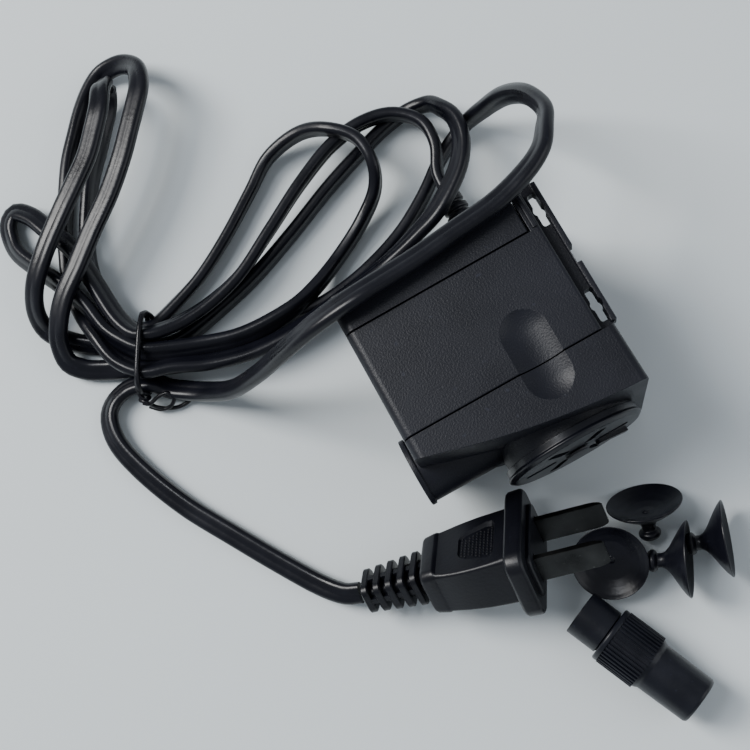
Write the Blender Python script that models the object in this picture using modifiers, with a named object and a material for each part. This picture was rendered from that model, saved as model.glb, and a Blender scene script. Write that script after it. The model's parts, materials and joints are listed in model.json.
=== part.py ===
"""Small submersible aquarium pump with its mains lead, suction cups and hose adaptor.

The pump lies on its side as it does on a bench: the resting face is at Z = 0 and the
opposite side, with the finger recess, looks up. +X points to the mounting side with
the keyhole ears, -Y to the intake dial, and the origin is under the middle of the body.
Sizes are in millimetres and turned into metres by MM.
"""
import math

import bmesh
import bpy
from mathutils import Euler, Matrix, Vector

MM = 0.001
GAP = 0.3  # clearance between neighbouring pieces

# Body of the pump
BODY_LEFT, BODY_RIGHT = -24.4, 22.0
BODY_BACK, BODY_SPLIT = 22.0, -12.0
BODY_HEIGHT = 42.0
WALL = 2.0
LEFT_ROUNDING, RIGHT_ROUNDING = 2.2, 0.8
BULKHEAD_FRONT, BULKHEAD_BACK = -8.3, -6.3
PANEL_RIGHT, PANEL_FRONT = 19.3, 13.5

# Front cover: its front is an arc that runs from the outlet side to the mounting side
COVER_LEFT_FRONT, COVER_RIGHT_FRONT = -16.5, -25.4
COVER_RIGHT_BACK, COVER_RIGHT_FLARE = 24.8, 25.1
COVER_BULGE = 1.8

# Motor axis, parallel to Y
AXIS_X, AXIS_Z = 6.5, 21.0
VOLUTE_RADIUS, CHAMBER_RADIUS, VOLUTE_BACK = 13.2, 11.4, -11.3
BOSS_RADIUS, BOSS_FRONT = 15.0, -27.2
WEB_FRONT, WEB_BACK = -21.8, -20.2
DIAL_RADIUS, DIAL_FRONT, DIAL_BACK = 16.1, -28.7, -25.75
SHAFT_RADIUS = 1.0
MAGNET_RADIUS, MAGNET_FRONT, MAGNET_BACK = 6.0, -5.0, 9.0
WELL_INNER, WELL_OUTER, WELL_BACK = 6.6, 7.6, 13.2
STATOR_FRONT, STATOR_BACK = -4.0, 8.0

# Outlet spout, parallel to X
OUTLET_Y = -15.9
OUTLET_BORE, OUTLET_RADIUS, OUTLET_RIM = 5.5, 7.4, 7.85

# Keyhole ears on the mounting side
EAR_OUTER = 26.1
EAR_LEVELS = ((35.0, 38.0), (4.0, 7.0))
SLOT_CENTRES = (17.3, -6.4)
SLOT_X, SLOT_WIDTH, SLOT_LENGTH, KEYHOLE_RADIUS = 24.0, 1.9, 7.7, 1.35

# Mains lead and what is on it
CORD_RADIUS = 2.0
CORD_STEP = 15.0
GLAND_X, GLAND_Z, GLAND_END = 11.5, 6.5, 40.2
PLUG_TAIL = (-49.5, -31.4, 6.25)
PLUG_YAW, PLUG_PITCH, PLUG_ROLL = -16.0, 12.2, -46.5
RELIEF_LENGTH, PLUG_BODY_END, PLUG_FACE = 15.0, 36.0, 40.0
BLADE_LENGTH, BLADE_WIDTH, BLADE_THICKNESS, BLADE_SPACING = 16.4, 6.35, 1.5, 12.7

# Suction cups
CUP_RADIUS, CUP_HEIGHT = 8.5, 9.2

# Hose adaptor, its axis level with the bench
ADAPTOR_START = (-9.9, -58.3, 6.75)
ADAPTOR_YAW = -66.0
SLEEVE_RADIUS, SLEEVE_BORE = 5.2, 4.1
COLLAR_RADIUS, COLLAR_START, COLLAR_END = 6.6, 7.6, 18.6
NOZZLE_RADIUS, ADAPTOR_LENGTH = 5.5, 31.6

# Centre line of the lead, from the pump's gland to the plug, in the order it runs.
# It passes seven times through the tie, between three loops on each side of it.
LEAD_FROM_PUMP = [
    (11.5, 40.8, 6.5), (12, 46, 6.5), (15, 52.5, 6.8), (15, 59, 6.9), (10, 64.5, 6.9),
    (2.5, 66.5, 6.9), (-6, 65.5, 6.9), (-17, 61, 6.9), (-29, 54.5, 6.9), (-40.5, 48.5, 6.9),
    (-50.5, 46, 6.9), (-58, 45.5, 7.2), (-63.5, 46, 8),
]
LEFT_LOOP_ONE = [
    (-66.5, 47, 8.2), (-69, 49, 8), (-71, 54.5, 7.4), (-72, 64.5, 7.2), (-73, 74.5, 7.2),
    (-76.5, 83, 6.6), (-79, 89, 5), (-82, 92.5, 3.5), (-85, 91.5, 2.8), (-86.5, 87, 2.6),
    (-86, 82, 3.5), (-83, 75.5, 5.5), (-80, 69.5, 7.2), (-77, 62, 7.2), (-75, 52.5, 7.2),
    (-72, 47, 7.8),
]
RIGHT_LOOP_ONE = [
    (-68.5, 43, 8.2), (-63.5, 40.5, 7.8), (-55.5, 37.5, 6.9), (-47.5, 35, 6.9), (-35.5, 34.5, 6.9),
    (-27.5, 36.5, 5.5), (-18.5, 41, 3.2), (-9, 46, 4), (-2.5, 50.5, 7), (0, 55.5, 10.5),
    (-0.5, 62, 11.2), (-5, 67.5, 10.8), (-11.5, 72, 7), (-21, 72, 3.5), (-29, 67, 2.6),
    (-39.5, 60, 2.6), (-49.5, 54.5, 2.6), (-58, 51.5, 2.6), (-63, 50, 2.8),
]
LEFT_LOOP_TWO = [
    (-66.5, 49.8, 3.6), (-69.5, 52, 2.8), (-71.5, 56.5, 2.6), (-72.5, 62.5, 2.6), (-72, 70, 2.6),
    (-69.5, 77.5, 2.6), (-66, 84, 2.6), (-62, 90.5, 2.6), (-57, 96.5, 2.6), (-53, 101.5, 2.6),
    (-50, 105, 3.2), (-48, 107.5, 5.6), (-47.5, 107.5, 9.2), (-48.5, 105, 12.6),
    (-50.5, 100.5, 14.4), (-54.5, 95.5, 14.5), (-58.5, 91, 14.5), (-64, 86.5, 14.5),
    (-70, 82, 14.2), (-78.5, 75.5, 13), (-84.5, 70.5, 10.5), (-88, 66, 6.5), (-88.5, 62, 3),
    (-84.5, 56.5, 2.6), (-79, 52, 2.6),
]
RIGHT_LOOP_TWO = [
    (-69, 45, 3.8), (-62, 43, 2.6), (-53.5, 44, 2.6), (-38.5, 47.5, 2.6), (-25, 52.5, 2.6),
    (-12, 58, 2.6), (-2, 61.5, 2.6), (6, 64, 2.6), (13, 65, 2.6), (18, 63.5, 4.5), (20.5, 59, 8.5),
    (21.5, 53.5, 11.5), (19.5, 47, 13), (15, 41.5, 13.8), (7.5, 36.5, 13.4), (0, 34.5, 10.5),
    (-9, 33, 7.4), (-20, 31.5, 7), (-32, 30, 6.9), (-46, 30.5, 6.9), (-56.5, 33.5, 6.9),
    (-64.5, 37, 7.8),
]
LEFT_LOOP_THREE = [
    (-70.5, 39, 8.2), (-75, 44, 7.8), (-77.5, 52.5, 6.9), (-79, 61.5, 4), (-78.5, 69.5, 2.6),
    (-76, 76.5, 2.6), (-73, 83.5, 2.6), (-69, 90.5, 2.6), (-65, 97, 2.6), (-60, 103, 2.6),
    (-55.5, 108, 2.6), (-51.5, 111.5, 2.6), (-47.5, 113.5, 3), (-43, 112.5, 5.2), (-39.5, 109, 8.6),
    (-38.5, 104.5, 12), (-40, 99.5, 14.2), (-43.5, 95, 14.6), (-47, 91, 14.6), (-51, 86.5, 14.5),
    (-58, 80, 14), (-66, 74, 13.4), (-73, 68.5, 12.6), (-79.5, 64, 11), (-84, 59.5, 8.8),
    (-86.5, 55.5, 6.4), (-87, 51.5, 4), (-84.5, 48.5, 2.8), (-80.5, 46, 2.6),
]
RIGHT_LOOP_THREE = [
    (-71, 41.5, 3.8), (-62.5, 37.5, 2.6), (-55, 36, 2.6), (-46, 34.5, 2.6), (-36, 34.5, 2.6),
    (-26, 33.5, 2.6), (-14.5, 35, 2.6), (-2.5, 39, 2.6), (7, 44.5, 2.6), (15, 50.5, 2.6),
    (23, 54, 4), (29, 52.5, 12), (33, 49, 22), (35.5, 43, 32), (36, 36.5, 38), (33.5, 31.5, 42),
    (29.5, 26.5, 44.5), (23.5, 23.5, 45), (16, 21.5, 44.8), (6, 20.5, 44.8), (-3.5, 19.5, 45),
    (-11.5, 19, 45.4), (-20, 18.5, 45.8), (-29, 18.5, 42.5), (-38, 19, 34.5), (-46.5, 20.5, 23.5),
    (-54.5, 23.5, 12.5), (-61.5, 28.5, 5.5), (-67.5, 33, 3.2),
]
LEAD_TO_PLUG = [
    (-72.5, 37.5, 3.8), (-77.5, 39, 2.6), (-81.5, 38, 2.6), (-84.5, 35, 2.6), (-85.5, 29, 2.6),
    (-83.5, 20.5, 2.6), (-78, 7.5, 2.6), (-71, -4.5, 2.6), (-64, -16, 2.6), (-58.4, -24.5, 3.2),
    (-54.1, -29.3, 4.8), (-50.6, -31.0, 5.8),
]
TIE_CENTRE = (-69.8, 43.1, 6.0)
TIE_HALF_WIDTH, TIE_HALF_HEIGHT, TIE_WIRE = 11.4, 5.5, 0.4
TIE_DIRECTION = (0.866, -0.5, 0.0)

ABS_BLACK = ((0.010, 0.011, 0.016, 1), 0.45, 0.0)
RUBBER_BLACK = ((0.008, 0.008, 0.010, 1), 0.6, 0.0)
PVC_BLACK = ((0.007, 0.007, 0.011, 1), 0.35, 0.0)
BLADE_METAL = ((0.25, 0.25, 0.26, 1), 0.3, 1.0)
STEEL = ((0.30, 0.30, 0.32, 1), 0.35, 1.0)
FERRITE = ((0.05, 0.05, 0.055, 1), 0.5, 0.0)
CERAMIC = ((0.85, 0.84, 0.80, 1), 0.25, 0.0)
COPPER = ((0.55, 0.22, 0.08, 1), 0.35, 1.0)
NYLON = ((0.75, 0.75, 0.72, 1), 0.5, 0.0)
EPOXY = ((0.03, 0.03, 0.03, 1), 0.3, 0.0)
WIRE_RED = ((0.45, 0.03, 0.02, 1), 0.45, 0.0)
WIRE_BLUE = ((0.03, 0.10, 0.40, 1), 0.45, 0.0)

MANIFOLD_CUTS = ("front_cover",)  # its spout meets the volute along almost the same surface
FLAT = Matrix.Identity(4)
TOWARDS_FRONT = Matrix.Rotation(math.radians(90), 4, "X")  # local +Z to -Y


# ---------------------------------------------------------------- scene and materials

def clear_scene():
    for old in list(bpy.data.objects):
        bpy.data.objects.remove(old, do_unlink=True)


def collection(name):
    group = bpy.data.collections.new(name)
    bpy.context.scene.collection.children.link(group)
    return group


def material(name, look):
    colour, roughness, metallic = look
    made = bpy.data.materials.new(name)
    made.use_nodes = True
    shader = made.node_tree.nodes["Principled BSDF"]
    shader.inputs["Base Color"].default_value = colour
    shader.inputs["Roughness"].default_value = roughness
    shader.inputs["Metallic"].default_value = metallic
    return made


clear_scene()
PARTS = collection("submersible_pump")
CUTTERS = collection("cutters")


def add(name, mesh, look=None, place=FLAT):
    """Links a mesh or a curve as a part, or as a hidden cutter when it has no look."""
    thing = bpy.data.objects.new(name, mesh)
    thing.matrix_world = place
    if look is None:
        CUTTERS.objects.link(thing)
        thing.hide_render = True
        thing.display_type = "WIRE"
    else:
        PARTS.objects.link(thing)
        mesh.materials.append(material(name, look))
    return thing


# ---------------------------------------------------------------- basic shapes

def block(name, low, high, look=None, rounded=(), place=FLAT):
    """A box between two corners. rounded lists (axis, radius, test) for its edges."""
    mesh = bpy.data.meshes.new(name)
    shape = bmesh.new()
    bmesh.ops.create_cube(shape, size=1.0)
    low, high = Vector(low) * MM, Vector(high) * MM
    for corner in shape.verts:
        corner.co = [low[i] if corner.co[i] < 0 else high[i] for i in range(3)]
    for axis, radius, test in rounded:
        edges = [e for e in shape.edges
                 if abs((e.verts[0].co - e.verts[1].co).normalized()[axis]) > 0.99
                 and test((e.verts[0].co + e.verts[1].co) / 2 / MM)]
        bmesh.ops.bevel(shape, geom=edges, offset=radius * MM, segments=3, profile=0.5,
                        affect="EDGES", clamp_overlap=True)
    shape.to_mesh(mesh)
    shape.free()
    return add(name, mesh, look, place)


def rod(name, start, end, radius, look=None, sides=24):
    """A straight round bar between two points."""
    start, end = Vector(start) * MM, Vector(end) * MM
    mesh = bpy.data.meshes.new(name)
    shape = bmesh.new()
    bmesh.ops.create_cone(shape, cap_ends=True, segments=sides, radius1=radius * MM,
                          radius2=radius * MM, depth=(end - start).length)
    shape.to_mesh(mesh)
    shape.free()
    turn = (end - start).to_track_quat("Z", "Y").to_matrix().to_4x4()
    thing = add(name, mesh, look, Matrix.Translation((start + end) / 2) @ turn)
    return thing


def turned(name, profile, look=None, place=FLAT, steps=24):
    """A shape turned about its local Z. The (radius, height) points go down the outside."""
    mesh = bpy.data.meshes.new(name)
    shape = bmesh.new()
    corners = [shape.verts.new((r * MM, 0, z * MM)) for r, z in profile]
    for one, two in zip(corners, corners[1:]):
        shape.edges.new((one, two))
    if profile[0][0] > 0:
        shape.edges.new((corners[-1], corners[0]))
    shape.to_mesh(mesh)
    shape.free()
    thing = add(name, mesh, look, place)
    screw = thing.modifiers.new("turn", "SCREW")
    screw.steps = screw.render_steps = steps
    screw.use_merge_vertices = True
    screw.merge_threshold = 0.00001
    screw.use_smooth_shade = False
    return thing


def front_facing(x, y, z):
    """Place for a turned part whose local +Z points to the front, -Y."""
    return Matrix.Translation(Vector((x, y, z)) * MM) @ TOWARDS_FRONT


def ring(name, inner, outer, front, back, look=None, steps=24):
    """A washer or sleeve on the motor axis between two Y positions."""
    profile = [(inner, 0), (outer, 0), (outer, front - back), (inner, front - back)]
    return turned(name, profile, look, front_facing(AXIS_X, front, AXIS_Z), steps)


def disc(name, radius, front, back, look=None, steps=28):
    profile = [(0, 0), (radius, 0), (radius, front - back), (0, front - back)]
    return turned(name, profile, look, front_facing(AXIS_X, front, AXIS_Z), steps)


def cut(target, *cutters):
    for cutter in cutters:
        combine(target, cutter, "DIFFERENCE")
    return target


def join(target, *additions):
    for addition in additions:
        combine(target, addition, "UNION")
    return target


def combine(target, other, operation):
    step = target.modifiers.new(other.name, "BOOLEAN")
    step.operation = operation
    step.solver = "MANIFOLD" if target.name in MANIFOLD_CUTS else "EXACT"
    step.object = other


def weld_cut_edges():
    """Closes the hairline splits that cuts leave at facet corners."""
    for thing in PARTS.objects:
        if any(step.type == "BOOLEAN" for step in thing.modifiers):
            weld = thing.modifiers.new("weld", "WELD")
            weld.merge_threshold = 0.000001


def tube(name, points, radius, look, closed=False, resolution=2):
    """A round bar along a list of points in millimetres."""
    curve = bpy.data.curves.new(name, "CURVE")
    curve.dimensions = "3D"
    line = curve.splines.new("POLY")
    line.points.add(len(points) - 1)
    for target, point in zip(line.points, points):
        target.co = (*(Vector(point) * MM), 1)
    line.use_cyclic_u = closed
    curve.bevel_depth = radius * MM
    curve.bevel_resolution = resolution
    curve.use_fill_caps = not closed
    return add(name, curve, look)


def outline_plate(name, corners, low, high, look=None, bevels=()):
    """An XY outline in millimetres extruded between two heights, with rounded edges."""
    mesh = bpy.data.meshes.new(name)
    shape = bmesh.new()
    base = shape.faces.new([shape.verts.new((x * MM, y * MM, low * MM)) for x, y in corners])
    raised = bmesh.ops.extrude_face_region(shape, geom=[base])["geom"]
    tops = [v for v in raised if isinstance(v, bmesh.types.BMVert)]
    bmesh.ops.translate(shape, verts=tops, vec=(0, 0, (high - low) * MM))
    bmesh.ops.recalc_face_normals(shape, faces=shape.faces[:])
    for radius, test in bevels:
        edges = [e for e in shape.edges
                 if test(e.verts[0].co / MM, e.verts[1].co / MM)]
        bmesh.ops.bevel(shape, geom=edges, offset=radius * MM, segments=3, profile=0.5,
                        affect="EDGES", clamp_overlap=True)
    shape.to_mesh(mesh)
    shape.free()
    return add(name, mesh, look)


# ---------------------------------------------------------------- housing

def on_left(middle):
    return middle.x < BODY_LEFT + 1


def on_right(middle):
    return middle.x > PANEL_RIGHT - 1


def finger_recess(name):
    """A long shallow thumb hollow across the split, cut by a capsule."""
    length, half_width, depth = 20.5, 5.2, 1.3
    radius = (half_width ** 2 + depth ** 2) / (2 * depth)
    straight = length / 2 - half_width
    profile = [(0, straight + radius)]
    for step in range(1, 6):
        angle = math.radians(18 * step)
        profile.append((radius * math.sin(angle), straight + radius * math.cos(angle)))
    for step in range(5, 0, -1):
        angle = math.radians(18 * step)
        profile.append((radius * math.sin(angle), -straight - radius * math.cos(angle)))
    profile.append((0, -straight - radius))
    place = Matrix.Translation(Vector((8.0, -10.0, BODY_HEIGHT - depth + radius)) * MM)
    return turned(name, profile, None, place @ TOWARDS_FRONT, steps=32)


def ear(name, low, high, look=None):
    """One mounting ear: a flat strip with a raised outer rim, a notch and two keyholes."""
    plate = block(name, (BODY_RIGHT - 1.5, BODY_SPLIT + 0.4, low), (EAR_OUTER, BODY_BACK + 1.6, high),
                  look, [(2, 1.6, lambda m: m.x > 25)])
    join(plate, block(name + "_rim", (EAR_OUTER - 1.5, BODY_SPLIT + 1, low - 0.8),
                      (EAR_OUTER, BODY_BACK + 1.0, high + 1.2), None,
                      [(1, 0.5, lambda m: True)]))
    cut(plate, block(name + "_notch", (EAR_OUTER - 1.1, 3.1, low - 2), (EAR_OUTER + 1, 7.2, high + 2)))
    for number, centre in enumerate(SLOT_CENTRES):
        half = SLOT_LENGTH / 2
        slot = block(f"{name}_slot_{number}", (SLOT_X - SLOT_WIDTH / 2, centre - half, low - 3),
                     (SLOT_X + SLOT_WIDTH / 2, centre + half, high + 3))
        eye = rod(f"{name}_eye_{number}", (SLOT_X, centre, low - 3), (SLOT_X, centre, high + 3),
                  KEYHOLE_RADIUS, None, 20)
        cut(plate, slot, eye)
    return plate


def motor_housing():
    shell = block("motor_housing", (BODY_LEFT, BODY_SPLIT, 0), (BODY_RIGHT, BODY_BACK, BODY_HEIGHT),
                  ABS_BLACK, [(1, LEFT_ROUNDING, on_left), (1, RIGHT_ROUNDING, on_right)])
    inside = (BODY_LEFT + WALL, BODY_RIGHT - WALL, WALL, BODY_HEIGHT - WALL)
    cut(shell,
        block("motor_room", (inside[0], BULKHEAD_BACK, inside[2]), (inside[1], BODY_BACK + 1, inside[3])),
        block("volute_room", (inside[0], BODY_SPLIT - 1, inside[2]), (inside[1], BULKHEAD_FRONT, inside[3])),
        block("panel_room", (BODY_LEFT - 1, PANEL_FRONT - GAP, -1),
              (PANEL_RIGHT + GAP, BODY_BACK + 1, BODY_HEIGHT + 1)),
        rod("well_hole", (AXIS_X, BULKHEAD_FRONT - 1, AXIS_Z), (AXIS_X, BULKHEAD_BACK + 1, AXIS_Z),
            WELL_OUTER + GAP),
        rod("spout_notch", (BODY_LEFT - 2, OUTLET_Y, AXIS_Z), (BODY_LEFT + 4, OUTLET_Y, AXIS_Z),
            OUTLET_RADIUS + GAP))
    join(shell, block("edge_ridge", (20.4, PANEL_FRONT, BODY_HEIGHT - 0.5),
                      (21.5, BODY_BACK, BODY_HEIGHT + 0.4), None, [(1, 0.3, lambda m: m.z > 42)]))
    cut(shell, finger_recess("housing_recess"))
    for number, (low, high) in enumerate(EAR_LEVELS):
        join(shell, ear(f"ear_{number}", low, high))
    return shell


def back_cover():
    shell = block("back_cover", (BODY_LEFT, PANEL_FRONT, 0), (PANEL_RIGHT, BODY_BACK, BODY_HEIGHT),
                  ABS_BLACK, [(1, LEFT_ROUNDING, on_left), (1, 0.4, on_right),
                              (2, 1.0, lambda m: m.y > 21 and m.x < 0)])
    cut(shell,
        block("cover_room", (BODY_LEFT + WALL, PANEL_FRONT - 1, WALL),
              (PANEL_RIGHT - WALL, BODY_BACK - WALL, BODY_HEIGHT - WALL)),
        rod("gland_hole", (GLAND_X, BODY_BACK - 4, GLAND_Z), (GLAND_X, BODY_BACK + 2, GLAND_Z), 3.4))
    return shell


# ---------------------------------------------------------------- front cover group

def cover_outline(inset):
    """Top view of the cover, moved inwards by inset. Its front is a shallow arc."""
    left, right, back = BODY_LEFT + inset, COVER_RIGHT_BACK - inset, BODY_SPLIT - GAP
    flare = COVER_RIGHT_FLARE - inset
    corners = [(left, back + inset), (right, back + inset)]
    steps = 10
    for step in range(steps + 1):
        part = 1 - step / steps
        x = left + (flare - left) * part
        y = COVER_LEFT_FRONT + (COVER_RIGHT_FRONT - COVER_LEFT_FRONT) * part
        y -= COVER_BULGE * 4 * part * (1 - part)
        corners.append((x, y + inset))
    return corners


def is_long_left(one, two):
    return abs(one.y - two.y) > 1 and abs(one.z - two.z) < 0.1 and max(one.x, two.x) < BODY_LEFT + 0.1


def is_rim(one, two):
    on_skin = min(one.z, two.z) > BODY_HEIGHT - 0.1 or max(one.z, two.z) < 0.1
    middle = (one + two) / 2
    return on_skin and middle.y < BODY_SPLIT - GAP - 0.5 and middle.x > BODY_LEFT + 2.5


def front_cover():
    back = BODY_SPLIT - GAP
    shell = outline_plate("front_cover", cover_outline(0), 0, BODY_HEIGHT, ABS_BLACK,
                          [(LEFT_ROUNDING, is_long_left), (0.7, is_rim)])
    cut(shell, outline_plate("cover_inside", cover_outline(WALL), WALL, BODY_HEIGHT - WALL))
    join(shell,
         disc("volute_wall", VOLUTE_RADIUS, -22.5, -10.5),
         disc("intake_boss", BOSS_RADIUS, BOSS_FRONT, -19.0),
         rod("spout", (BODY_LEFT - 1.2, OUTLET_Y, AXIS_Z), (AXIS_X - 10, OUTLET_Y, AXIS_Z), OUTLET_RADIUS),
         rod("spout_rim", (BODY_LEFT - 1.9, OUTLET_Y, AXIS_Z), (BODY_LEFT - 0.7, OUTLET_Y, AXIS_Z),
             OUTLET_RIM, None, 40))
    cut(shell,
        block("well_clearance", (-8.4, VOLUTE_BACK, 5), (AXIS_X + 16, -6, 37)),
        disc("chamber", CHAMBER_RADIUS, WEB_BACK, back + 6),
        disc("strainer_room", 13.5, BOSS_FRONT - 1, WEB_FRONT),
        disc("bearing_seat", 2.4, WEB_FRONT - 1, WEB_BACK + 1, steps=24),
        rod("spout_bore", (BODY_LEFT - 3, OUTLET_Y, AXIS_Z), (AXIS_X - 7, OUTLET_Y, AXIS_Z), OUTLET_BORE,
            None, 25))
    for number in range(4):
        angle = math.radians(45 + 90 * number)
        x, z = AXIS_X + 6.2 * math.cos(angle), AXIS_Z + 6.2 * math.sin(angle)
        cut(shell, rod(f"inlet_eye_{number}", (x, WEB_FRONT - 1, z), (x, WEB_BACK + 1, z), 2.6, None, 20))
    cut(shell, finger_recess("cover_recess"))
    return shell


def intake_grille():
    """Fixed strainer behind the dial, with a ring of slots."""
    plate = disc("intake_grille", 13.1, -26.9, -25.7, ABS_BLACK)
    cut(plate, disc("grille_pivot_hole", 1.6, -28, -25, steps=20))
    for number in range(6):
        cut(plate, radial_slot(f"grille_slot_{number}", 60 * number, 5.0, 11.0, 2.6, -28, -25))
    return plate


def radial_slot(name, degrees, inner, outer, width, front, back):
    """A straight slot that points away from the motor axis."""
    turn = Matrix.Rotation(math.radians(degrees), 4, "Y")
    place = Matrix.Translation(Vector((AXIS_X, 0, AXIS_Z)) * MM) @ turn
    return block(name, (inner, front, -width / 2), (outer, back, width / 2), None, (), place)


def intake_dial():
    """Turning cap over the strainer: its slots close the fixed ones to throttle the intake."""
    depth = DIAL_FRONT - DIAL_BACK
    profile = [(0, 0), (DIAL_RADIUS - 0.8, 0), (DIAL_RADIUS, -0.9), (DIAL_RADIUS - 0.35, -1.3),
               (DIAL_RADIUS - 0.35, depth), (15.3, depth), (15.3, -1.2), (0, -1.2)]
    cap = turned("intake_dial", profile, ABS_BLACK, front_facing(AXIS_X, DIAL_FRONT, AXIS_Z), 32)
    cut(cap, disc("dial_pivot_hole", 1.9, DIAL_FRONT - 1, DIAL_BACK, steps=20))
    for number in range(6):
        cut(cap, radial_slot(f"dial_slot_{number}", 60 * number, 5.0, 12.4, 2.6, -30, DIAL_BACK))
    join(cap, radial_slot("dial_grip", 30, 5.5, 14.0, 1.6, DIAL_FRONT - 0.8, DIAL_FRONT + 0.5))
    return cap


def dial_pivot():
    profile = [(0, 0.8), (2.6, 0.8), (3.0, 0.3), (1.3, 0.3), (1.3, -2.8), (0, -2.8)]
    return turned("dial_pivot", profile, NYLON, front_facing(AXIS_X, DIAL_FRONT, AXIS_Z), 24)


# ---------------------------------------------------------------- rotor

def impeller():
    hub = disc("impeller", 2.6, -19.2, MAGNET_FRONT - GAP, ABS_BLACK, 24)
    join(hub, disc("impeller_plate", 9.5, -13.0, -11.8, steps=32))
    for number in range(4):
        join(hub, radial_slot(f"impeller_blade_{number}", 90 * number, 1.5, 9.3, 1.2, -18.6, -12.5))
    cut(hub, disc("impeller_bore", SHAFT_RADIUS + GAP, -21, MAGNET_FRONT + 1, steps=20))
    return hub


def rotor_magnet():
    return ring("rotor_magnet", SHAFT_RADIUS + GAP, MAGNET_RADIUS, MAGNET_FRONT, MAGNET_BACK, FERRITE)


def shaft_and_bearings():
    disc("ceramic_shaft", SHAFT_RADIUS, -21.6, 12.2, CERAMIC, 20)
    ring("front_bearing", SHAFT_RADIUS + GAP, 2.1, -21.9, -20.0, RUBBER_BLACK, 24)
    ring("rear_bearing", SHAFT_RADIUS + GAP, 2.6, MAGNET_BACK + 0.6, 12.0, RUBBER_BLACK, 24)


def rotor_well():
    """Blind plastic can that keeps the water on the rotor's side, with a flange in front."""
    front, flange = -10.2, 13.0
    floor = front - WELL_BACK
    profile = [(0, floor + 0.8), (2.9, floor + 0.8), (2.9, floor + 2.8), (WELL_INNER, floor + 2.8),
               (WELL_INNER, 0), (flange, 0), (flange, -1.6), (WELL_OUTER, -1.6),
               (WELL_OUTER, floor), (0, floor)]
    return turned("rotor_well", profile, ABS_BLACK, front_facing(AXIS_X, front, AXIS_Z), 28)


def well_cap():
    return ring("well_cap", 3.4, 6.2, -9.8, -8.4, ABS_BLACK)


def cover_seal():
    """Rubber ring between the volute and the well flange."""
    profile = [(12.3 + 0.4 * math.cos(a), 0.4 * math.sin(a))
               for a in (math.radians(90 - 60 * k) for k in range(6))]
    return turned("volute_seal", profile, RUBBER_BLACK, front_facing(AXIS_X, -10.75, AXIS_Z))


# ---------------------------------------------------------------- stator

def stator_core():
    """Laminated U core: two legs that end in pole pieces around the well."""
    core = block("stator_core", (-19.5, STATOR_FRONT, 6), (16.5, STATOR_BACK, 36), STEEL)
    cut(core,
        block("core_window", (-13.5, STATOR_FRONT - 1, 13), (-2.5, STATOR_BACK + 1, 29)),
        block("pole_gap", (-4, STATOR_FRONT - 1, 19.2), (18, STATOR_BACK + 1, 22.8)),
        rod("pole_bore", (AXIS_X, STATOR_FRONT - 1, AXIS_Z), (AXIS_X, STATOR_BACK + 1, AXIS_Z),
            WELL_OUTER + GAP, None, 40))
    return core


def bobbin(name, low):
    """Square-flanged former around one leg of the core; low is the leg's lower face."""
    front, back, high = STATOR_FRONT - GAP, STATOR_BACK + GAP, low + 7 + GAP
    low -= GAP
    left, right = -12.9, -3.1
    former = block(name, (left, front - 0.7, low - 0.7), (right, back + 0.7, high + 0.7), NYLON)
    for side, x in (("inner", left), ("outer", right - 0.8)):
        join(former, block(f"{name}_{side}_flange", (x, front - 1.3, low - 3), (x + 0.8, back + 1.3, high + 3)))
    cut(former, block(name + "_bore", (left - 1, front, low), (right + 1, back, high)))
    return former


def winding(name, low):
    front, back, high = STATOR_FRONT - 1.3, STATOR_BACK + 1.3, low + 8.3
    low -= 1.3
    left, right = -11.8, -4.2
    coil = block(name, (left, front - 0.25, low - 1.7), (right, back + 0.25, high + 1.7), COPPER)
    cut(coil, block(name + "_core", (left - 1, front + 0.05, low), (right + 1, back - 0.05, high)))
    return coil


def electrics():
    for side, low in (("lower", 6), ("upper", 29)):
        bobbin(f"{side}_bobbin", low)
        winding(f"{side}_winding", low)
    block("potting_block", (BODY_LEFT + WALL + GAP, 14.6, WALL + GAP),
          (PANEL_RIGHT - WALL - GAP, 19.6, BODY_HEIGHT - WALL - GAP), EPOXY)
    rod("thermal_fuse", (-14, 11.4, 21), (-5.2, 11.4, 21), 1.3, STEEL, 12)
    tube("live_wire", [(-15, 11.4, 21), (-17.5, 11.5, 21.5), (-18.5, 12.2, 23), (-18.5, 13.8, 24)],
         0.55, WIRE_RED)
    tube("neutral_wire", [(-4.2, 11.4, 21), (-3.2, 11.5, 19.5), (-2.8, 12.2, 16), (-2.6, 13.8, 13)],
         0.55, WIRE_BLUE)


# ---------------------------------------------------------------- mains lead

def cable_gland():
    """Tapered strain relief: a stub in the back wall, a collar and ribs down to the cord."""
    tip = GLAND_END - BODY_BACK
    profile = [(0, tip), (2.7, tip)]
    for number in range(6):
        high = tip - 1.2 - number * 2.2
        radius = 2.9 + 0.2 * number
        profile += [(radius, high), (radius, high - 1.1), (radius - 0.5, high - 1.6)]
    profile += [(4.6, 3.2), (4.6, 0.3), (3.05, 0.3), (3.05, -1.7), (0, -1.7)]
    place = Matrix.Translation(Vector((GLAND_X, BODY_BACK, GLAND_Z)) * MM)
    return turned("cable_gland", profile, PVC_BLACK, place @ TOWARDS_FRONT.inverted(), 12)


def curve_through(points):
    """A centripetal Catmull-Rom curve through the points, ten steps from each to the next."""
    points = [Vector(p) for p in points]
    padded = [2 * points[0] - points[1]] + points + [2 * points[-1] - points[-2]]
    fine = []
    for corners in zip(padded, padded[1:], padded[2:], padded[3:]):
        knots = [0.0]
        for start, end in zip(corners, corners[1:]):
            knots.append(knots[-1] + math.sqrt((end - start).length))
        fine += [catmull_point(corners, knots, part / 10) for part in range(10)]
    return fine + [points[-1]]


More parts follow.
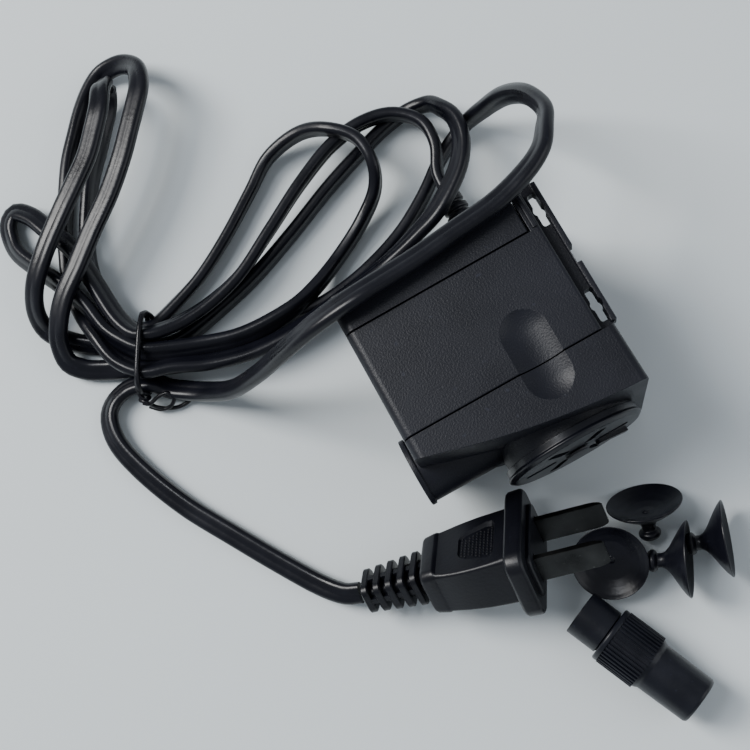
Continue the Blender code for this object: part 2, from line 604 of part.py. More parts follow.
def evenly_spaced(line, step):
    """Points along a line at an even distance near step, with both of its ends."""
    length = sum((b - a).length for a, b in zip(line, line[1:]))
    count = round(length / step)
    spaced, travelled = [line[0]], 0.0
    for one, two in zip(line, line[1:]):
        span = (two - one).length
        while len(spaced) < count and travelled + span >= length / count * len(spaced):
            spaced.append(one.lerp(two, (length / count * len(spaced) - travelled) / span))
        travelled += span
    return spaced + [line[-1]]


def catmull_point(corners, knots, part):
    before, one, two, after = corners
    t0, t1, t2, t3 = knots
    t = t1 + (t2 - t1) * part
    a1 = before.lerp(one, (t - t0) / (t1 - t0))
    a2 = one.lerp(two, (t - t1) / (t2 - t1))
    a3 = two.lerp(after, (t - t2) / (t3 - t2))
    b1 = a1.lerp(a2, (t - t0) / (t2 - t0))
    b2 = a2.lerp(a3, (t - t1) / (t3 - t1))
    return b1.lerp(b2, (t - t1) / (t2 - t1))


def power_cord():
    """The lead, spaced section by section so that each pass through the tie is on its curve."""
    sections = (LEAD_FROM_PUMP, LEFT_LOOP_ONE, RIGHT_LOOP_ONE, LEFT_LOOP_TWO, RIGHT_LOOP_TWO,
                LEFT_LOOP_THREE, RIGHT_LOOP_THREE, LEAD_TO_PLUG)
    fine = curve_through([point for section in sections for point in section])
    route, start = [fine[0]], 0
    for section in sections:
        end = start + 10 * len(section)
        route += evenly_spaced(fine[start:end + 1], CORD_STEP)[1:]
        start = end
    return tube("power_cord", route, CORD_RADIUS, PVC_BLACK)


def tie_frame():
    along = Vector(TIE_DIRECTION)
    across = Vector((-along.y, along.x, 0))
    return Vector(TIE_CENTRE), along, across


def twist_tie():
    """Wire tie once round the seven passes of the lead."""
    centre, _, across = tie_frame()
    points = []
    for step in range(24):
        angle = math.tau * (step + 0.5) / 24
        side = abs(math.cos(angle)) ** 0.4 * math.copysign(1, math.cos(angle))
        rise = abs(math.sin(angle)) ** 0.4 * math.copysign(1, math.sin(angle))
        points.append(centre + across * side * TIE_HALF_WIDTH + Vector((0, 0, rise * TIE_HALF_HEIGHT)))
    return tube("twist_tie", points, TIE_WIRE, PVC_BLACK, closed=True)


def tie_tail():
    """Twisted knot of the tie and its loose end, on the side of the plug lead."""
    centre, along, across = tie_frame()
    knot = centre - across * (TIE_HALF_WIDTH + 1.3) + Vector((0, 0, -2.5))
    route = [(0, 0, 1.4), (0.6, -0.9, 0.2), (2.5, -1.6, -1.4), (5.5, -1.8, -2.2), (8.5, -1.0, -2.4),
             (11.0, 0.6, -2.4)]
    points = [knot + along * a + across * b + Vector((0, 0, c)) for a, b, c in route]
    return tube("tie_tail", points, TIE_WIRE, PVC_BLACK)


# ---------------------------------------------------------------- plug

def plug_place():
    angles = [math.radians(a) for a in (PLUG_ROLL, -PLUG_PITCH, PLUG_YAW)]
    turn = Euler(angles, "XYZ").to_matrix().to_4x4()
    return Matrix.Translation(Vector(PLUG_TAIL) * MM) @ turn


def rounded_section(along, half_width, half_height, corner, sides=4):
    """Corner points of a rounded rectangle across the plug at one distance along it."""
    points = []
    for turn, (sy, sz) in enumerate(((1, 1), (-1, 1), (-1, -1), (1, -1))):
        for step in range(sides + 1):
            angle = math.radians(90 * turn + 90 * step / sides)
            points.append((along, sy * (half_width - corner) + corner * math.cos(angle),
                           sz * (half_height - corner) + corner * math.sin(angle)))
    return points


def loft(name, sections, look, place):
    """A closed skin over sections that all have the same number of points."""
    mesh = bpy.data.meshes.new(name)
    shape = bmesh.new()
    rings = [[shape.verts.new(Vector(p) * MM) for p in section] for section in sections]
    count = len(rings[0])
    for one, two in zip(rings, rings[1:]):
        for i in range(count):
            shape.faces.new((one[i], one[(i + 1) % count], two[(i + 1) % count], two[i]))
    shape.faces.new(rings[0])
    shape.faces.new(rings[-1])
    bmesh.ops.recalc_face_normals(shape, faces=shape.faces[:])
    shape.to_mesh(mesh)
    shape.free()
    return add(name, mesh, look, place)


def plug():
    place = plug_place()
    stations = [(RELIEF_LENGTH + GAP, 7.2, 5.2, 2.0), (16.6, 8.2, 6.2, 2.2), (18.2, 8.2, 6.2, 2.2),
                (19.2, 7.5, 5.6, 2.4), (26, 7.8, 6.0, 2.4), (33, 8.4, 6.6, 2.6),
                (PLUG_BODY_END, 8.8, 7.0, 2.8)]
    body = loft("plug_body", [rounded_section(*s) for s in stations], PVC_BLACK, place)
    flange = loft("plug_flange", [rounded_section(x, w, h, c) for x, w, h, c in (
        (PLUG_BODY_END - 0.4, 12.4, 8.0, 3.4), (PLUG_BODY_END + 0.4, 13.3, 8.8, 3.8),
        (PLUG_FACE - 0.6, 13.3, 8.8, 3.8), (PLUG_FACE, 12.7, 8.2, 3.4))], None, place)
    join(body, flange)
    half = BLADE_SPACING / 2
    for number, offset in enumerate((half, -half)):
        blade(f"plug_blade_{number + 1}", offset, place)
        root = block(f"blade_slot_{number}",
                     (PLUG_FACE - 6, offset - BLADE_THICKNESS / 2 - GAP, -BLADE_WIDTH / 2 - GAP),
                     (PLUG_FACE + 2, offset + BLADE_THICKNESS / 2 + GAP, BLADE_WIDTH / 2 + GAP),
                     None, (), place)
        cut(body, root)
    plug_relief(place)


def blade(name, offset, place):
    half = BLADE_THICKNESS / 2
    return block(name, (PLUG_FACE - 5.7, offset - half, -BLADE_WIDTH / 2),
                 (PLUG_FACE + BLADE_LENGTH, offset + half, BLADE_WIDTH / 2), BLADE_METAL,
                 [(1, 0.9, lambda m: m.x > PLUG_FACE + 10)], place)


def plug_relief(place):
    """Five ribs on a tapered sleeve, a little narrower towards the cord."""
    profile = [(0, 0), (3.4, 0)]
    for number in range(5):
        start = 0.6 + number * 2.9
        radius = 4.7 + 0.17 * number
        profile += [(3.6, start), (radius, start + 0.3), (radius, start + 1.6)]
    profile += [(4.4, RELIEF_LENGTH), (0, RELIEF_LENGTH)]
    turn = Matrix.Rotation(math.radians(90), 4, "Y")
    return turned("plug_strain_relief", profile[::-1], PVC_BLACK, place @ turn, 14)


# ---------------------------------------------------------------- suction cups

def suction_cup(name, rim_centre, facing):
    """Rubber cup: dish, conical back, neck and mushroom knob. facing is where the dish opens."""
    profile = [(0, -2.6)]
    for radius, height in ((4.5, -2.2), (7.3, -0.9), (8.3, 0.0), (CUP_RADIUS, -0.3),
                           (7.5, -1.7), (5.4, -3.0), (3.0, -4.2), (1.6, -5.5), (1.6, -7.0),
                           (2.4, -7.2), (2.5, -8.3), (1.7, -9.0)):
        profile.append((radius, height))
    profile.append((0, -CUP_HEIGHT))
    turn = Vector(facing).to_track_quat("Z", "Y").to_matrix().to_4x4()
    place = Matrix.Translation(Vector(rim_centre) * MM) @ turn
    return turned(name, profile, RUBBER_BLACK, place, 14)


def suction_cups():
    suction_cup("suction_cup_1", (14.4, -44.2, 7.2), (0.25, 0.80, 0.55))
    suction_cup("suction_cup_2", (1.0, -52.5, 8.6), (-0.30, -0.30, 0.90))
    suction_cup("suction_cup_3", (16.5, -59.9, 8.4), (0.88, -0.45, 0.17))
    suction_cup("suction_cup_4", (26.0, -60.0, 8.4), (0.92, -0.36, 0.18))


# ---------------------------------------------------------------- hose adaptor

def adaptor_place():
    turn = Matrix.Rotation(math.radians(ADAPTOR_YAW), 4, "Z") @ Matrix.Rotation(math.radians(90), 4, "Y")
    return Matrix.Translation(Vector(ADAPTOR_START) * MM) @ turn


def adaptor_sleeve():
    """Push-in tube with a groove for its seal; its inner end runs inside the collar."""
    end = 16.0
    profile = [(SLEEVE_BORE, end), (4.7, end), (4.7, 13.2), (4.4, 13.2), (4.4, 12.0), (4.7, 12.0),
               (4.7, COLLAR_START - 0.2), (SLEEVE_RADIUS, COLLAR_START - 0.2), (SLEEVE_RADIUS, 0.4),
               (SLEEVE_RADIUS - 0.4, 0), (SLEEVE_BORE, 0)]
    return turned("adaptor_sleeve", profile, ABS_BLACK, adaptor_place(), 20)


def adaptor_collar():
    """Knurled nut and hose nozzle in one piece, turning on the sleeve."""
    end = ADAPTOR_LENGTH
    profile = [(4.0, end), (NOZZLE_RADIUS - 0.35, end), (NOZZLE_RADIUS - 0.05, end - 0.5),
               (NOZZLE_RADIUS + 0.1, COLLAR_END), (COLLAR_RADIUS - 0.5, COLLAR_END),
               (COLLAR_RADIUS - 0.15, COLLAR_END - 0.5), (COLLAR_RADIUS - 0.15, COLLAR_START + 3.4),
               (COLLAR_RADIUS, COLLAR_START + 3.0), (COLLAR_RADIUS, COLLAR_START + 0.4),
               (COLLAR_RADIUS - 0.4, COLLAR_START), (5.05, COLLAR_START), (5.05, 16.6), (4.0, 16.6)]
    return turned("adaptor_collar", profile, ABS_BLACK, adaptor_place(), 20)


def adaptor_seal():
    profile = [(4.75 + 0.15 * math.cos(a), 12.6 + 0.4 * math.sin(a))
               for a in (math.radians(90 - 60 * k) for k in range(6))]
    return turned("adaptor_seal", profile, RUBBER_BLACK, adaptor_place(), 16)


motor_housing()
back_cover()
front_cover()
intake_grille()
intake_dial()
dial_pivot()
impeller()
rotor_magnet()
shaft_and_bearings()
rotor_well()
well_cap()
cover_seal()
stator_core()
electrics()
cable_gland()
power_cord()
twist_tie()
tie_tail()
plug()
suction_cups()
adaptor_sleeve()
adaptor_collar()
adaptor_seal()
weld_cut_edges()
bpy.context.view_layer.update()
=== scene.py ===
"""Looks of a small submersible aquarium pump with its mains lead, suction cups and adaptor."""
import json
import math

import bmesh
import bpy
from mathutils import Euler, Matrix, Vector


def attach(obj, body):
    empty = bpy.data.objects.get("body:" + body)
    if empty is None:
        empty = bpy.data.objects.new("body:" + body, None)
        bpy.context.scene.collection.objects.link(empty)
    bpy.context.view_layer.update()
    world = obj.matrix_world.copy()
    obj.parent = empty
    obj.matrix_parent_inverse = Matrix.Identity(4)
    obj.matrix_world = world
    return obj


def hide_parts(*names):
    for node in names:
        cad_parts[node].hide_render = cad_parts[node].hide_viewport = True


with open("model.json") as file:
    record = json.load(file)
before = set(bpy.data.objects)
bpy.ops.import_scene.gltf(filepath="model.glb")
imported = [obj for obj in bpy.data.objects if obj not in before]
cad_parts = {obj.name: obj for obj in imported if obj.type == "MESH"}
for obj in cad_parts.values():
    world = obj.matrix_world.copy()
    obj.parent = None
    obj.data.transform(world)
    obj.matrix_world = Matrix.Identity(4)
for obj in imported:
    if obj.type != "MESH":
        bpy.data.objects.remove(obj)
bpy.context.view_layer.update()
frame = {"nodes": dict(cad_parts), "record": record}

MM = 0.001
WELD = 2e-6  # metres
FLAT = Matrix.Identity(4)
TO_FRONT = Matrix.Rotation(math.radians(90), 4, "X")  # local +Z to -Y

# Pump body, in millimetres, as in the CAD model: X runs from the outlet to the ears, Y from
# the intake to the lead and Z up from the bench
LEFT, RIGHT, BACK, SPLIT, HEIGHT, WALL, GAP = -24.4, 22.0, 22.0, -12.0, 42.0, 2.0, 0.3
LEFT_ROUNDING, RIGHT_ROUNDING, SEAM_ROUNDING = 2.2, 0.8, 0.28
BULKHEAD_FRONT, BULKHEAD_BACK, WELL_HOLE_RADIUS = -8.3, -6.3, 7.9
PANEL_RIGHT, PANEL_FRONT = 19.3, 13.5
RIDGE_LEFT, RIDGE_RIGHT, RIDGE_RISE = 20.4, 21.5, 0.4
HOLLOW_X, HOLLOW_Y, HOLLOW_LENGTH, HOLLOW_HALF_WIDTH, HOLLOW_DEPTH = 8.0, -10.0, 20.5, 5.2, 1.3
GLAND_X, GLAND_Z, GLAND_RIBS, GLAND_PITCH = 11.5, 6.5, 6, 2.2

# Mounting ears
EAR_OUTER, LOWER_EAR, UPPER_EAR = 26.1, (4.0, 7.0), (35.0, 38.0)
NOTCH_FRONT, NOTCH_BACK = 3.1, 7.2
SLOT_X, SLOT_CENTRES, SLOT_HALF_WIDTH, SLOT_HALF_LENGTH, EYE_RADIUS = 24.0, (17.3, -6.4), 0.95, 3.85, 1.35

# Front cover, dial and outlet
AXIS_X, AXIS_Z = 6.5, 21.0
COVER_RIGHT, COVER_FLARE, COVER_LEFT_FRONT, COVER_DEEPER, COVER_BULGE = 24.8, 25.1, -16.5, 8.9, 1.8
VOLUTE_RADIUS, CHAMBER_RADIUS, INTAKE_BORE, BOSS_RADIUS = 13.2, 11.4, 13.5, 15.0
WEB_FRONT, WEB_BACK, INLET_EYES, EYE_CIRCLE, INLET_RADIUS = -21.8, -20.2, 4, 6.2, 2.6
DIAL_FRONT, DIAL_BACK, DIAL_RADIUS, DIAL_SLOTS = -28.7, -25.75, 16.1, 6
OUTLET_Y, OUTLET_BORE, OUTLET_RADIUS, OUTLET_RIM = -15.9, 5.5, 7.4, 7.85

# Loose pieces on the bench: each cup's rim centre and the way its dish faces
CUPS = (
    ((14.4, -44.2, 7.2), (0.25, 0.80, 0.55)), ((1.0, -52.5, 8.6), (-0.30, -0.30, 0.90)),
    ((16.5, -59.9, 8.4), (0.88, -0.45, 0.17)), ((26.0, -60.0, 8.4), (0.92, -0.36, 0.18)),
)
ADAPTOR_START, ADAPTOR_YAW, KNURL_RIBS = (-9.9, -58.3, 6.75), -66.0, 40
PLUG_TAIL, PLUG_ANGLES, BLADE_OFFSET = (-49.5, -31.4, 6.25), (-46.5, -12.2, -16.0), 6.35
TIE_CENTRE = Vector((-69.8, 43.1, 6.0))
TIE_ALONG = Vector((0.866, -0.5, 0.0))
TIE_WRAP_RADIUS, TIE_STRAND_RADIUS, TIE_SQUARENESS = 0.62, 0.5, 0.6

# The lead's centre line, from the pump to the plug: x, y, z in millimetres and the tilt of
# the flat cord in degrees, 0 with its wide face up and 90 on edge
CORD_LENGTH, CORD_WIDTH, CORD_THICKNESS, CORD_CORNER, CORD_STEP = 1.32, 5.0, 2.8, 1.15, 1.3
LEAD_FROM_PUMP = [
    (11.5, 40.8, 6.5, 88), (12, 46, 6.5, 88), (15, 52.5, 6.8, 88), (15, 59, 6.9, 88),
    (10, 64.5, 6.9, 88), (2.5, 66.5, 6.9, 88), (-6, 65.5, 6.9, 88), (-17, 61, 6.9, 85),
    (-29, 54.5, 6.9, 80), (-40.5, 48.5, 6.9, 70), (-50.5, 46, 6.9, 60), (-58, 45.5, 7.2, 55),
    (-63.5, 46, 8, 55),
]
LEFT_LOOP_ONE = [
    (-66.5, 47, 8.2, 60), (-69, 49, 8, 55), (-71, 54.5, 7.4, 50), (-72, 64.5, 7.2, 50),
    (-73, 74.5, 7.2, 45), (-76.5, 83, 6.6, 30), (-79, 89, 5, 25), (-82, 92.5, 3.5, 25),
    (-85, 91.5, 2.8, 30), (-86.5, 87, 2.6, 40), (-86, 82, 3.5, 50), (-83, 75.5, 5.5, 50),
    (-80, 69.5, 7.2, 50), (-77, 62, 7.2, 55), (-75, 52.5, 7.2, 60), (-72, 47, 7.8, 60),
]
RIGHT_LOOP_ONE = [
    (-68.5, 43, 8.2, 50), (-63.5, 40.5, 7.8, 45), (-55.5, 37.5, 6.9, 45), (-47.5, 35, 6.9, 50),
    (-35.5, 34.5, 6.9, 65), (-27.5, 36.5, 5.5, 80), (-18.5, 41, 3.2, 88), (-9, 46, 4, 88),
    (-2.5, 50.5, 7, 88), (0, 55.5, 10.5, 88), (-0.5, 62, 11.2, 88), (-5, 67.5, 10.8, 88),
    (-11.5, 72, 7, 88), (-21, 72, 3.5, 85), (-29, 67, 2.6, 80), (-39.5, 60, 2.6, 75),
    (-49.5, 54.5, 2.6, 70), (-58, 51.5, 2.6, 65), (-63, 50, 2.8, 65),
]
LEFT_LOOP_TWO = [
    (-66.5, 49.8, 3.6, 75), (-69.5, 52, 2.8, 80), (-71.5, 56.5, 2.6, 85), (-72.5, 62.5, 2.6, 85),
    (-72, 70, 2.6, 85), (-69.5, 77.5, 2.6, 80), (-66, 84, 2.6, 75), (-62, 90.5, 2.6, 70),
    (-57, 96.5, 2.6, 60), (-53, 101.5, 2.6, 50), (-50, 105, 3.2, 40), (-48, 107.5, 5.6, 30),
    (-47.5, 107.5, 9.2, 20), (-48.5, 105, 12.6, 12), (-50.5, 100.5, 14.4, 10),
    (-54.5, 95.5, 14.5, 10), (-58.5, 91, 14.5, 10), (-64, 86.5, 14.5, 10), (-70, 82, 14.2, 12),
    (-78.5, 75.5, 13, 15), (-84.5, 70.5, 10.5, 20), (-88, 66, 6.5, 25), (-88.5, 62, 3, 30),
    (-84.5, 56.5, 2.6, 40), (-79, 52, 2.6, 50),
]
RIGHT_LOOP_TWO = [
    (-69, 45, 3.8, 60), (-62, 43, 2.6, 70), (-53.5, 44, 2.6, 80), (-38.5, 47.5, 2.6, 85),
    (-25, 52.5, 2.6, 88), (-12, 58, 2.6, 88), (-2, 61.5, 2.6, 88), (6, 64, 2.6, 88),
    (13, 65, 2.6, 88), (18, 63.5, 4.5, 85), (20.5, 59, 8.5, 75), (21.5, 53.5, 11.5, 60),
    (19.5, 47, 13, 45), (15, 41.5, 13.8, 35), (7.5, 36.5, 13.4, 35), (0, 34.5, 10.5, 45),
    (-9, 33, 7.4, 55), (-20, 31.5, 7, 55), (-32, 30, 6.9, 50), (-46, 30.5, 6.9, 45),
    (-56.5, 33.5, 6.9, 45), (-64.5, 37, 7.8, 50),
]
LEFT_LOOP_THREE = [
    (-70.5, 39, 8.2, 50), (-75, 44, 7.8, 55), (-77.5, 52.5, 6.9, 70), (-79, 61.5, 4, 80),
    (-78.5, 69.5, 2.6, 85), (-76, 76.5, 2.6, 85), (-73, 83.5, 2.6, 80), (-69, 90.5, 2.6, 75),
    (-65, 97, 2.6, 70), (-60, 103, 2.6, 60), (-55.5, 108, 2.6, 50), (-51.5, 111.5, 2.6, 45),
    (-47.5, 113.5, 3, 40), (-43, 112.5, 5.2, 35), (-39.5, 109, 8.6, 25), (-38.5, 104.5, 12, 15),
    (-40, 99.5, 14.2, 10), (-43.5, 95, 14.6, 10), (-47, 91, 14.6, 10), (-51, 86.5, 14.5, 10),
    (-58, 80, 14, 10), (-66, 74, 13.4, 10), (-73, 68.5, 12.6, 12), (-79.5, 64, 11, 15),
    (-84, 59.5, 8.8, 20), (-86.5, 55.5, 6.4, 25), (-87, 51.5, 4, 25), (-84.5, 48.5, 2.8, 25),
    (-80.5, 46, 2.6, 30),
]
RIGHT_LOOP_THREE = [
    (-71, 41.5, 3.8, 50), (-62.5, 37.5, 2.6, 60), (-55, 36, 2.6, 75), (-46, 34.5, 2.6, 85),
    (-36, 34.5, 2.6, 88), (-26, 33.5, 2.6, 88), (-14.5, 35, 2.6, 88), (-2.5, 39, 2.6, 88),
    (7, 44.5, 2.6, 88), (15, 50.5, 2.6, 88), (23, 54, 4, 88), (29, 52.5, 12, 85), (33, 49, 22, 80),
    (35.5, 43, 32, 75), (36, 36.5, 38, 70), (33.5, 31.5, 42, 60), (29.5, 26.5, 44.5, 45),
    (23.5, 23.5, 45, 35), (16, 21.5, 44.8, 30), (6, 20.5, 44.8, 30), (-3.5, 19.5, 45, 30),
    (-11.5, 19, 45.4, 30), (-20, 18.5, 45.8, 30), (-29, 18.5, 42.5, 30), (-38, 19, 34.5, 30),
    (-46.5, 20.5, 23.5, 28), (-54.5, 23.5, 12.5, 25), (-61.5, 28.5, 5.5, 20), (-67.5, 33, 3.2, 20),
]
LEAD_TO_PLUG = [
    (-72.5, 37.5, 3.8, 40), (-77.5, 39, 2.6, 40), (-81.5, 38, 2.6, 40), (-84.5, 35, 2.6, 35),
    (-85.5, 29, 2.6, 30), (-83.5, 20.5, 2.6, 25), (-78, 7.5, 2.6, 20), (-71, -4.5, 2.6, 20),
    (-64, -16, 2.6, 20), (-58.4, -24.5, 3.2, 20), (-54.1, -29.3, 4.8, 25), (-50.6, -31, 5.8, 30),
]


# ------------------------------------------------------------------ camera, light and floor

def camera():
    """Looks down on the bench from the intake side, turned a little about the view."""
    forward = Vector((-0.0298, 0.2287, -0.973)).normalized()
    right = Vector((0.870, -0.4733, -0.1379))
    right = (right - forward * right.dot(forward)).normalized()
    up = right.cross(forward)
    data = bpy.data.cameras.new("camera")
    data.lens, data.sensor_width = 70.4, 36
    data.clip_start, data.clip_end = 0.01, 20
    eye = bpy.data.objects.new("camera", data)
    turn = Matrix((right, up, -forward)).transposed().to_4x4()
    eye.matrix_world = Matrix.Translation(Vector((-13.9, -66.4, 336.3)) * MM) @ turn
    bpy.context.scene.collection.objects.link(eye)
    bpy.context.scene.camera = eye


def lamp(name, place, target, size, power, colour=(1, 1, 1)):
    data = bpy.data.lights.new(name, "AREA")
    data.shape, data.size, data.energy, data.color = "SQUARE", size, power, colour
    light = bpy.data.objects.new(name, data)
    light.location = place
    light.rotation_euler = (Vector(target) - Vector(place)).to_track_quat("-Z", "Y").to_euler()
    bpy.context.scene.collection.objects.link(light)


def studio():
    lamp("key", (-0.62, 0.62, 0.85), (-0.02, 0, 0), 0.5, 13, (1, 0.99, 0.97))
    lamp("sheen", (-0.42, 0.36, 1.15), (0, 0, 0), 0.3, 3.2, (0.92, 0.95, 1))
    lamp("fill", (0.8, -0.5, 0.6), (0, 0, 0.02), 0.9, 3, (0.93, 0.96, 1))
    world = bpy.data.worlds.new("studio")
    world.use_nodes = True
    world.node_tree.nodes["Background"].inputs["Color"].default_value = (0.86, 0.92, 1, 1)
    world.node_tree.nodes["Background"].inputs["Strength"].default_value = 0.30
    bpy.context.scene.world = world
    mesh = bpy.data.meshes.new("floor")
    mesh.from_pydata([(-3, -3, 0), (3, -3, 0), (3, 3, 0), (-3, 3, 0)], [], [(0, 1, 2, 3)])
    floor = bpy.data.objects.new("floor", mesh)
    mesh.materials.append(finish("floor", (0.80, 0.86, 0.88), 0.85, broad=(3, 0.02, 0.02)))
    bpy.context.scene.collection.objects.link(floor)


# ------------------------------------------------------------------ materials

def finish(name, colour, roughness, metallic=0.0, *, broad, grain=None, specks=None, gloss=0.5):
    """A moulded, drawn or ground surface. broad is (features per metre, change of colour,
    change of roughness), grain is (features per metre, depth in metres), and specks is
    (features per metre, how much lighter)."""
    made = bpy.data.materials.new(name)
    made.use_nodes = True
    nodes, links = made.node_tree.nodes, made.node_tree.links
    shader = nodes["Principled BSDF"]
    shader.inputs["Base Color"].default_value = (*colour, 1)
    shader.inputs["Roughness"].default_value = roughness
    shader.inputs["Metallic"].default_value = metallic
    shader.inputs["Specular IOR Level"].default_value = gloss
    place = nodes.new("ShaderNodeTexCoord").outputs["Object"]

    def noise(scale, detail):
        made_noise = nodes.new("ShaderNodeTexNoise")
        made_noise.inputs["Scale"].default_value = scale
        made_noise.inputs["Detail"].default_value = detail
        links.new(place, made_noise.inputs["Vector"])
        return made_noise.outputs["Fac"]

    def spread(source, low, high, low_in=0.3, high_in=0.7):
        step = nodes.new("ShaderNodeMapRange")
        limits = {"From Min": low_in, "From Max": high_in, "To Min": low, "To Max": high}
        for socket, value in limits.items():
            step.inputs[socket].default_value = value
        links.new(source, step.inputs["Value"])
        return step.outputs["Result"]

    cloud = noise(broad[0], 4)
    tint = spread(cloud, 1 - broad[1], 1 + broad[1])
    links.new(spread(cloud, roughness - broad[2], roughness + broad[2]), shader.inputs["Roughness"])
    if specks:
        add = nodes.new("ShaderNodeMath")
        add.operation = "ADD"
        links.new(spread(noise(specks[0], 2), 0, specks[1], 0.70, 0.78), add.inputs[0])
        links.new(tint, add.inputs[1])
        tint = add.outputs[0]
    scale = nodes.new("ShaderNodeVectorMath")
    scale.operation = "SCALE"
    scale.inputs[0].default_value = colour
    links.new(tint, scale.inputs["Scale"])
    links.new(scale.outputs["Vector"], shader.inputs["Base Color"])
    if grain:
        bump = nodes.new("ShaderNodeBump")
        bump.inputs["Strength"].default_value = 1
        bump.inputs["Distance"].default_value = grain[1]
        links.new(noise(grain[0], 3), bump.inputs["Height"])
        links.new(bump.outputs["Normal"], shader.inputs["Normal"])
    return made


LOOKS = {
    "housing_plastic": finish("housing_plastic", (0.0075, 0.0085, 0.014), 0.42, grain=(2500, 0.00007),
                              broad=(60, 0.22, 0.05), specks=(420, 1.3), gloss=0.38),
    "dial_plastic": finish("dial_plastic", (0.006, 0.007, 0.011), 0.30, grain=(900, 0.00002),
                           broad=(80, 0.2, 0.06), specks=(500, 0.8), gloss=0.38),
    "adaptor_plastic": finish("adaptor_plastic", (0.006, 0.007, 0.012), 0.34, grain=(1500, 0.00003),
                              broad=(150, 0.25, 0.06), specks=(700, 1.2), gloss=0.38),
    "pivot_nylon": finish("pivot_nylon", (0.012, 0.012, 0.016), 0.4, broad=(300, 0.2, 0.05)),
    "ferrite": finish("ferrite", (0.05, 0.05, 0.055), 0.5, grain=(3000, 0.00002), broad=(200, 0.3, 0.1)),
    "ceramic": finish("ceramic", (0.85, 0.84, 0.80), 0.2, broad=(300, 0.04, 0.04)),
    "seal_rubber": finish("seal_rubber", (0.005, 0.005, 0.006), 0.6, grain=(3000, 0.00001),
                          broad=(200, 0.2, 0.05)),
    "core_steel": finish("core_steel", (0.30, 0.30, 0.32), 0.35, 1.0, grain=(2500, 0.00001),
                         broad=(150, 0.2, 0.1)),
    "bobbin_nylon": finish("bobbin_nylon", (0.72, 0.71, 0.66), 0.5, broad=(100, 0.06, 0.05)),
    "copper_wire": finish("copper_wire", (0.55, 0.22, 0.08), 0.35, 1.0, grain=(4000, 0.00004),
                          broad=(200, 0.15, 0.1)),
    "potting_resin": finish("potting_resin", (0.03, 0.03, 0.03), 0.3, broad=(80, 0.2, 0.1)),
    "red_insulation": finish("red_insulation", (0.45, 0.03, 0.02), 0.4, broad=(200, 0.1, 0.05)),
    "blue_insulation": finish("blue_insulation", (0.03, 0.10, 0.40), 0.4, broad=(200, 0.1, 0.05)),
    "cord_pvc": finish("cord_pvc", (0.005, 0.0055, 0.0095), 0.30, grain=(1200, 0.00003),
                       broad=(120, 0.25, 0.07), specks=(600, 0.9), gloss=0.38),
    "tie_plastic": finish("tie_plastic", (0.004, 0.004, 0.007), 0.28, grain=(1500, 0.00003),
                          broad=(300, 0.2, 0.06), gloss=0.38),
    "plug_pvc": finish("plug_pvc", (0.005, 0.0055, 0.009), 0.36, grain=(1400, 0.00004),
                       broad=(110, 0.25, 0.06), specks=(500, 1.3), gloss=0.38),
    "blade_metal": finish("blade_metal", (0.060, 0.062, 0.062), 0.36, 1.0, grain=(1800, 0.00002),
                          broad=(160, 0.25, 0.1), specks=(900, 0.9)),
    "cup_rubber": finish("cup_rubber", (0.006, 0.0065, 0.011), 0.32, grain=(900, 0.00003),
                         broad=(140, 0.25, 0.07), specks=(500, 0.9), gloss=0.38),
}


# ------------------------------------------------------------------ mesh tools

def new_mesh(shape):
    mesh = bpy.data.meshes.new("part")
    bmesh.ops.recalc_face_normals(shape, faces=shape.faces[:])
    shape.to_mesh(mesh)
    shape.free()
    return mesh


def moved(mesh, place):
    mesh.transform(place)
    return mesh


def slab(low, high, rounded=(), segments=5):
    """A box between two corners. rounded lists (axis, radius, test) for its edges."""
    shape = bmesh.new()
    bmesh.ops.create_cube(shape, size=1.0)
    for corner in shape.verts:
        corner.co = [(low[i] if corner.co[i] < 0 else high[i]) * MM for i in range(3)]
    for axis, radius, test in rounded:
        edges = [e for e in shape.edges
                 if abs((e.verts[0].co - e.verts[1].co).normalized()[axis]) > 0.99
                 and test((e.verts[0].co + e.verts[1].co) / 2 / MM)]
        bmesh.ops.bevel(shape, geom=edges, offset=radius * MM, segments=segments, profile=0.5,
                        affect="EDGES", clamp_overlap=True)
    return new_mesh(shape)


def eased(points, radius, closed=False, steps=3):
    """An outline with its corners rounded by short curves, apart from an open outline's ends."""
    count, out = len(points), []
    for i, point in enumerate(points):
        here = Vector(point)
        if not closed and i in (0, count - 1):
            out.append(tuple(here))
            continue
        before, after = Vector(points[i - 1]), Vector(points[(i + 1) % count])
        cut = min(radius, 0.45 * (before - here).length, 0.45 * (after - here).length)
        one = here + (before - here).normalized() * cut
        two = here + (after - here).normalized() * cut
        for step in range(steps + 1):
            part = step / steps
            out.append(tuple(one.lerp(here, part).lerp(here.lerp(two, part), part)))
    return out


def lathe(profile, place=FLAT, steps=96, ease=0.2):
    """A shape turned about local Z from (radius, height) points. The outline ends on the
    axis, or is a closed loop when its first radius is above 0."""
    loop = profile[0][0] > 0
    outline = eased(profile, ease, loop) if ease else list(profile)
    shape, rings = bmesh.new(), []
    for radius, height in outline:
        if radius < 1e-6:
            rings.append([shape.verts.new((0, 0, height * MM))])
            continue
        rings.append([shape.verts.new((radius * MM * math.cos(math.tau * i / steps),
                                       radius * MM * math.sin(math.tau * i / steps), height * MM))
                      for i in range(steps)])
    pairs = list(zip(rings, rings[1:] + (rings[:1] if loop else [])))
    for one, two in pairs[:len(rings) if loop else len(rings) - 1]:
        for i in range(steps):
            j = (i + 1) % steps
            if len(one) == 1 and len(two) == 1:
                continue
            if len(one) == 1:
                shape.faces.new((one[0], two[i], two[j]))
            elif len(two) == 1:
                shape.faces.new((one[i], one[j], two[0]))
            else:
                shape.faces.new((one[i], one[j], two[j], two[i]))
    return moved(new_mesh(shape), place)


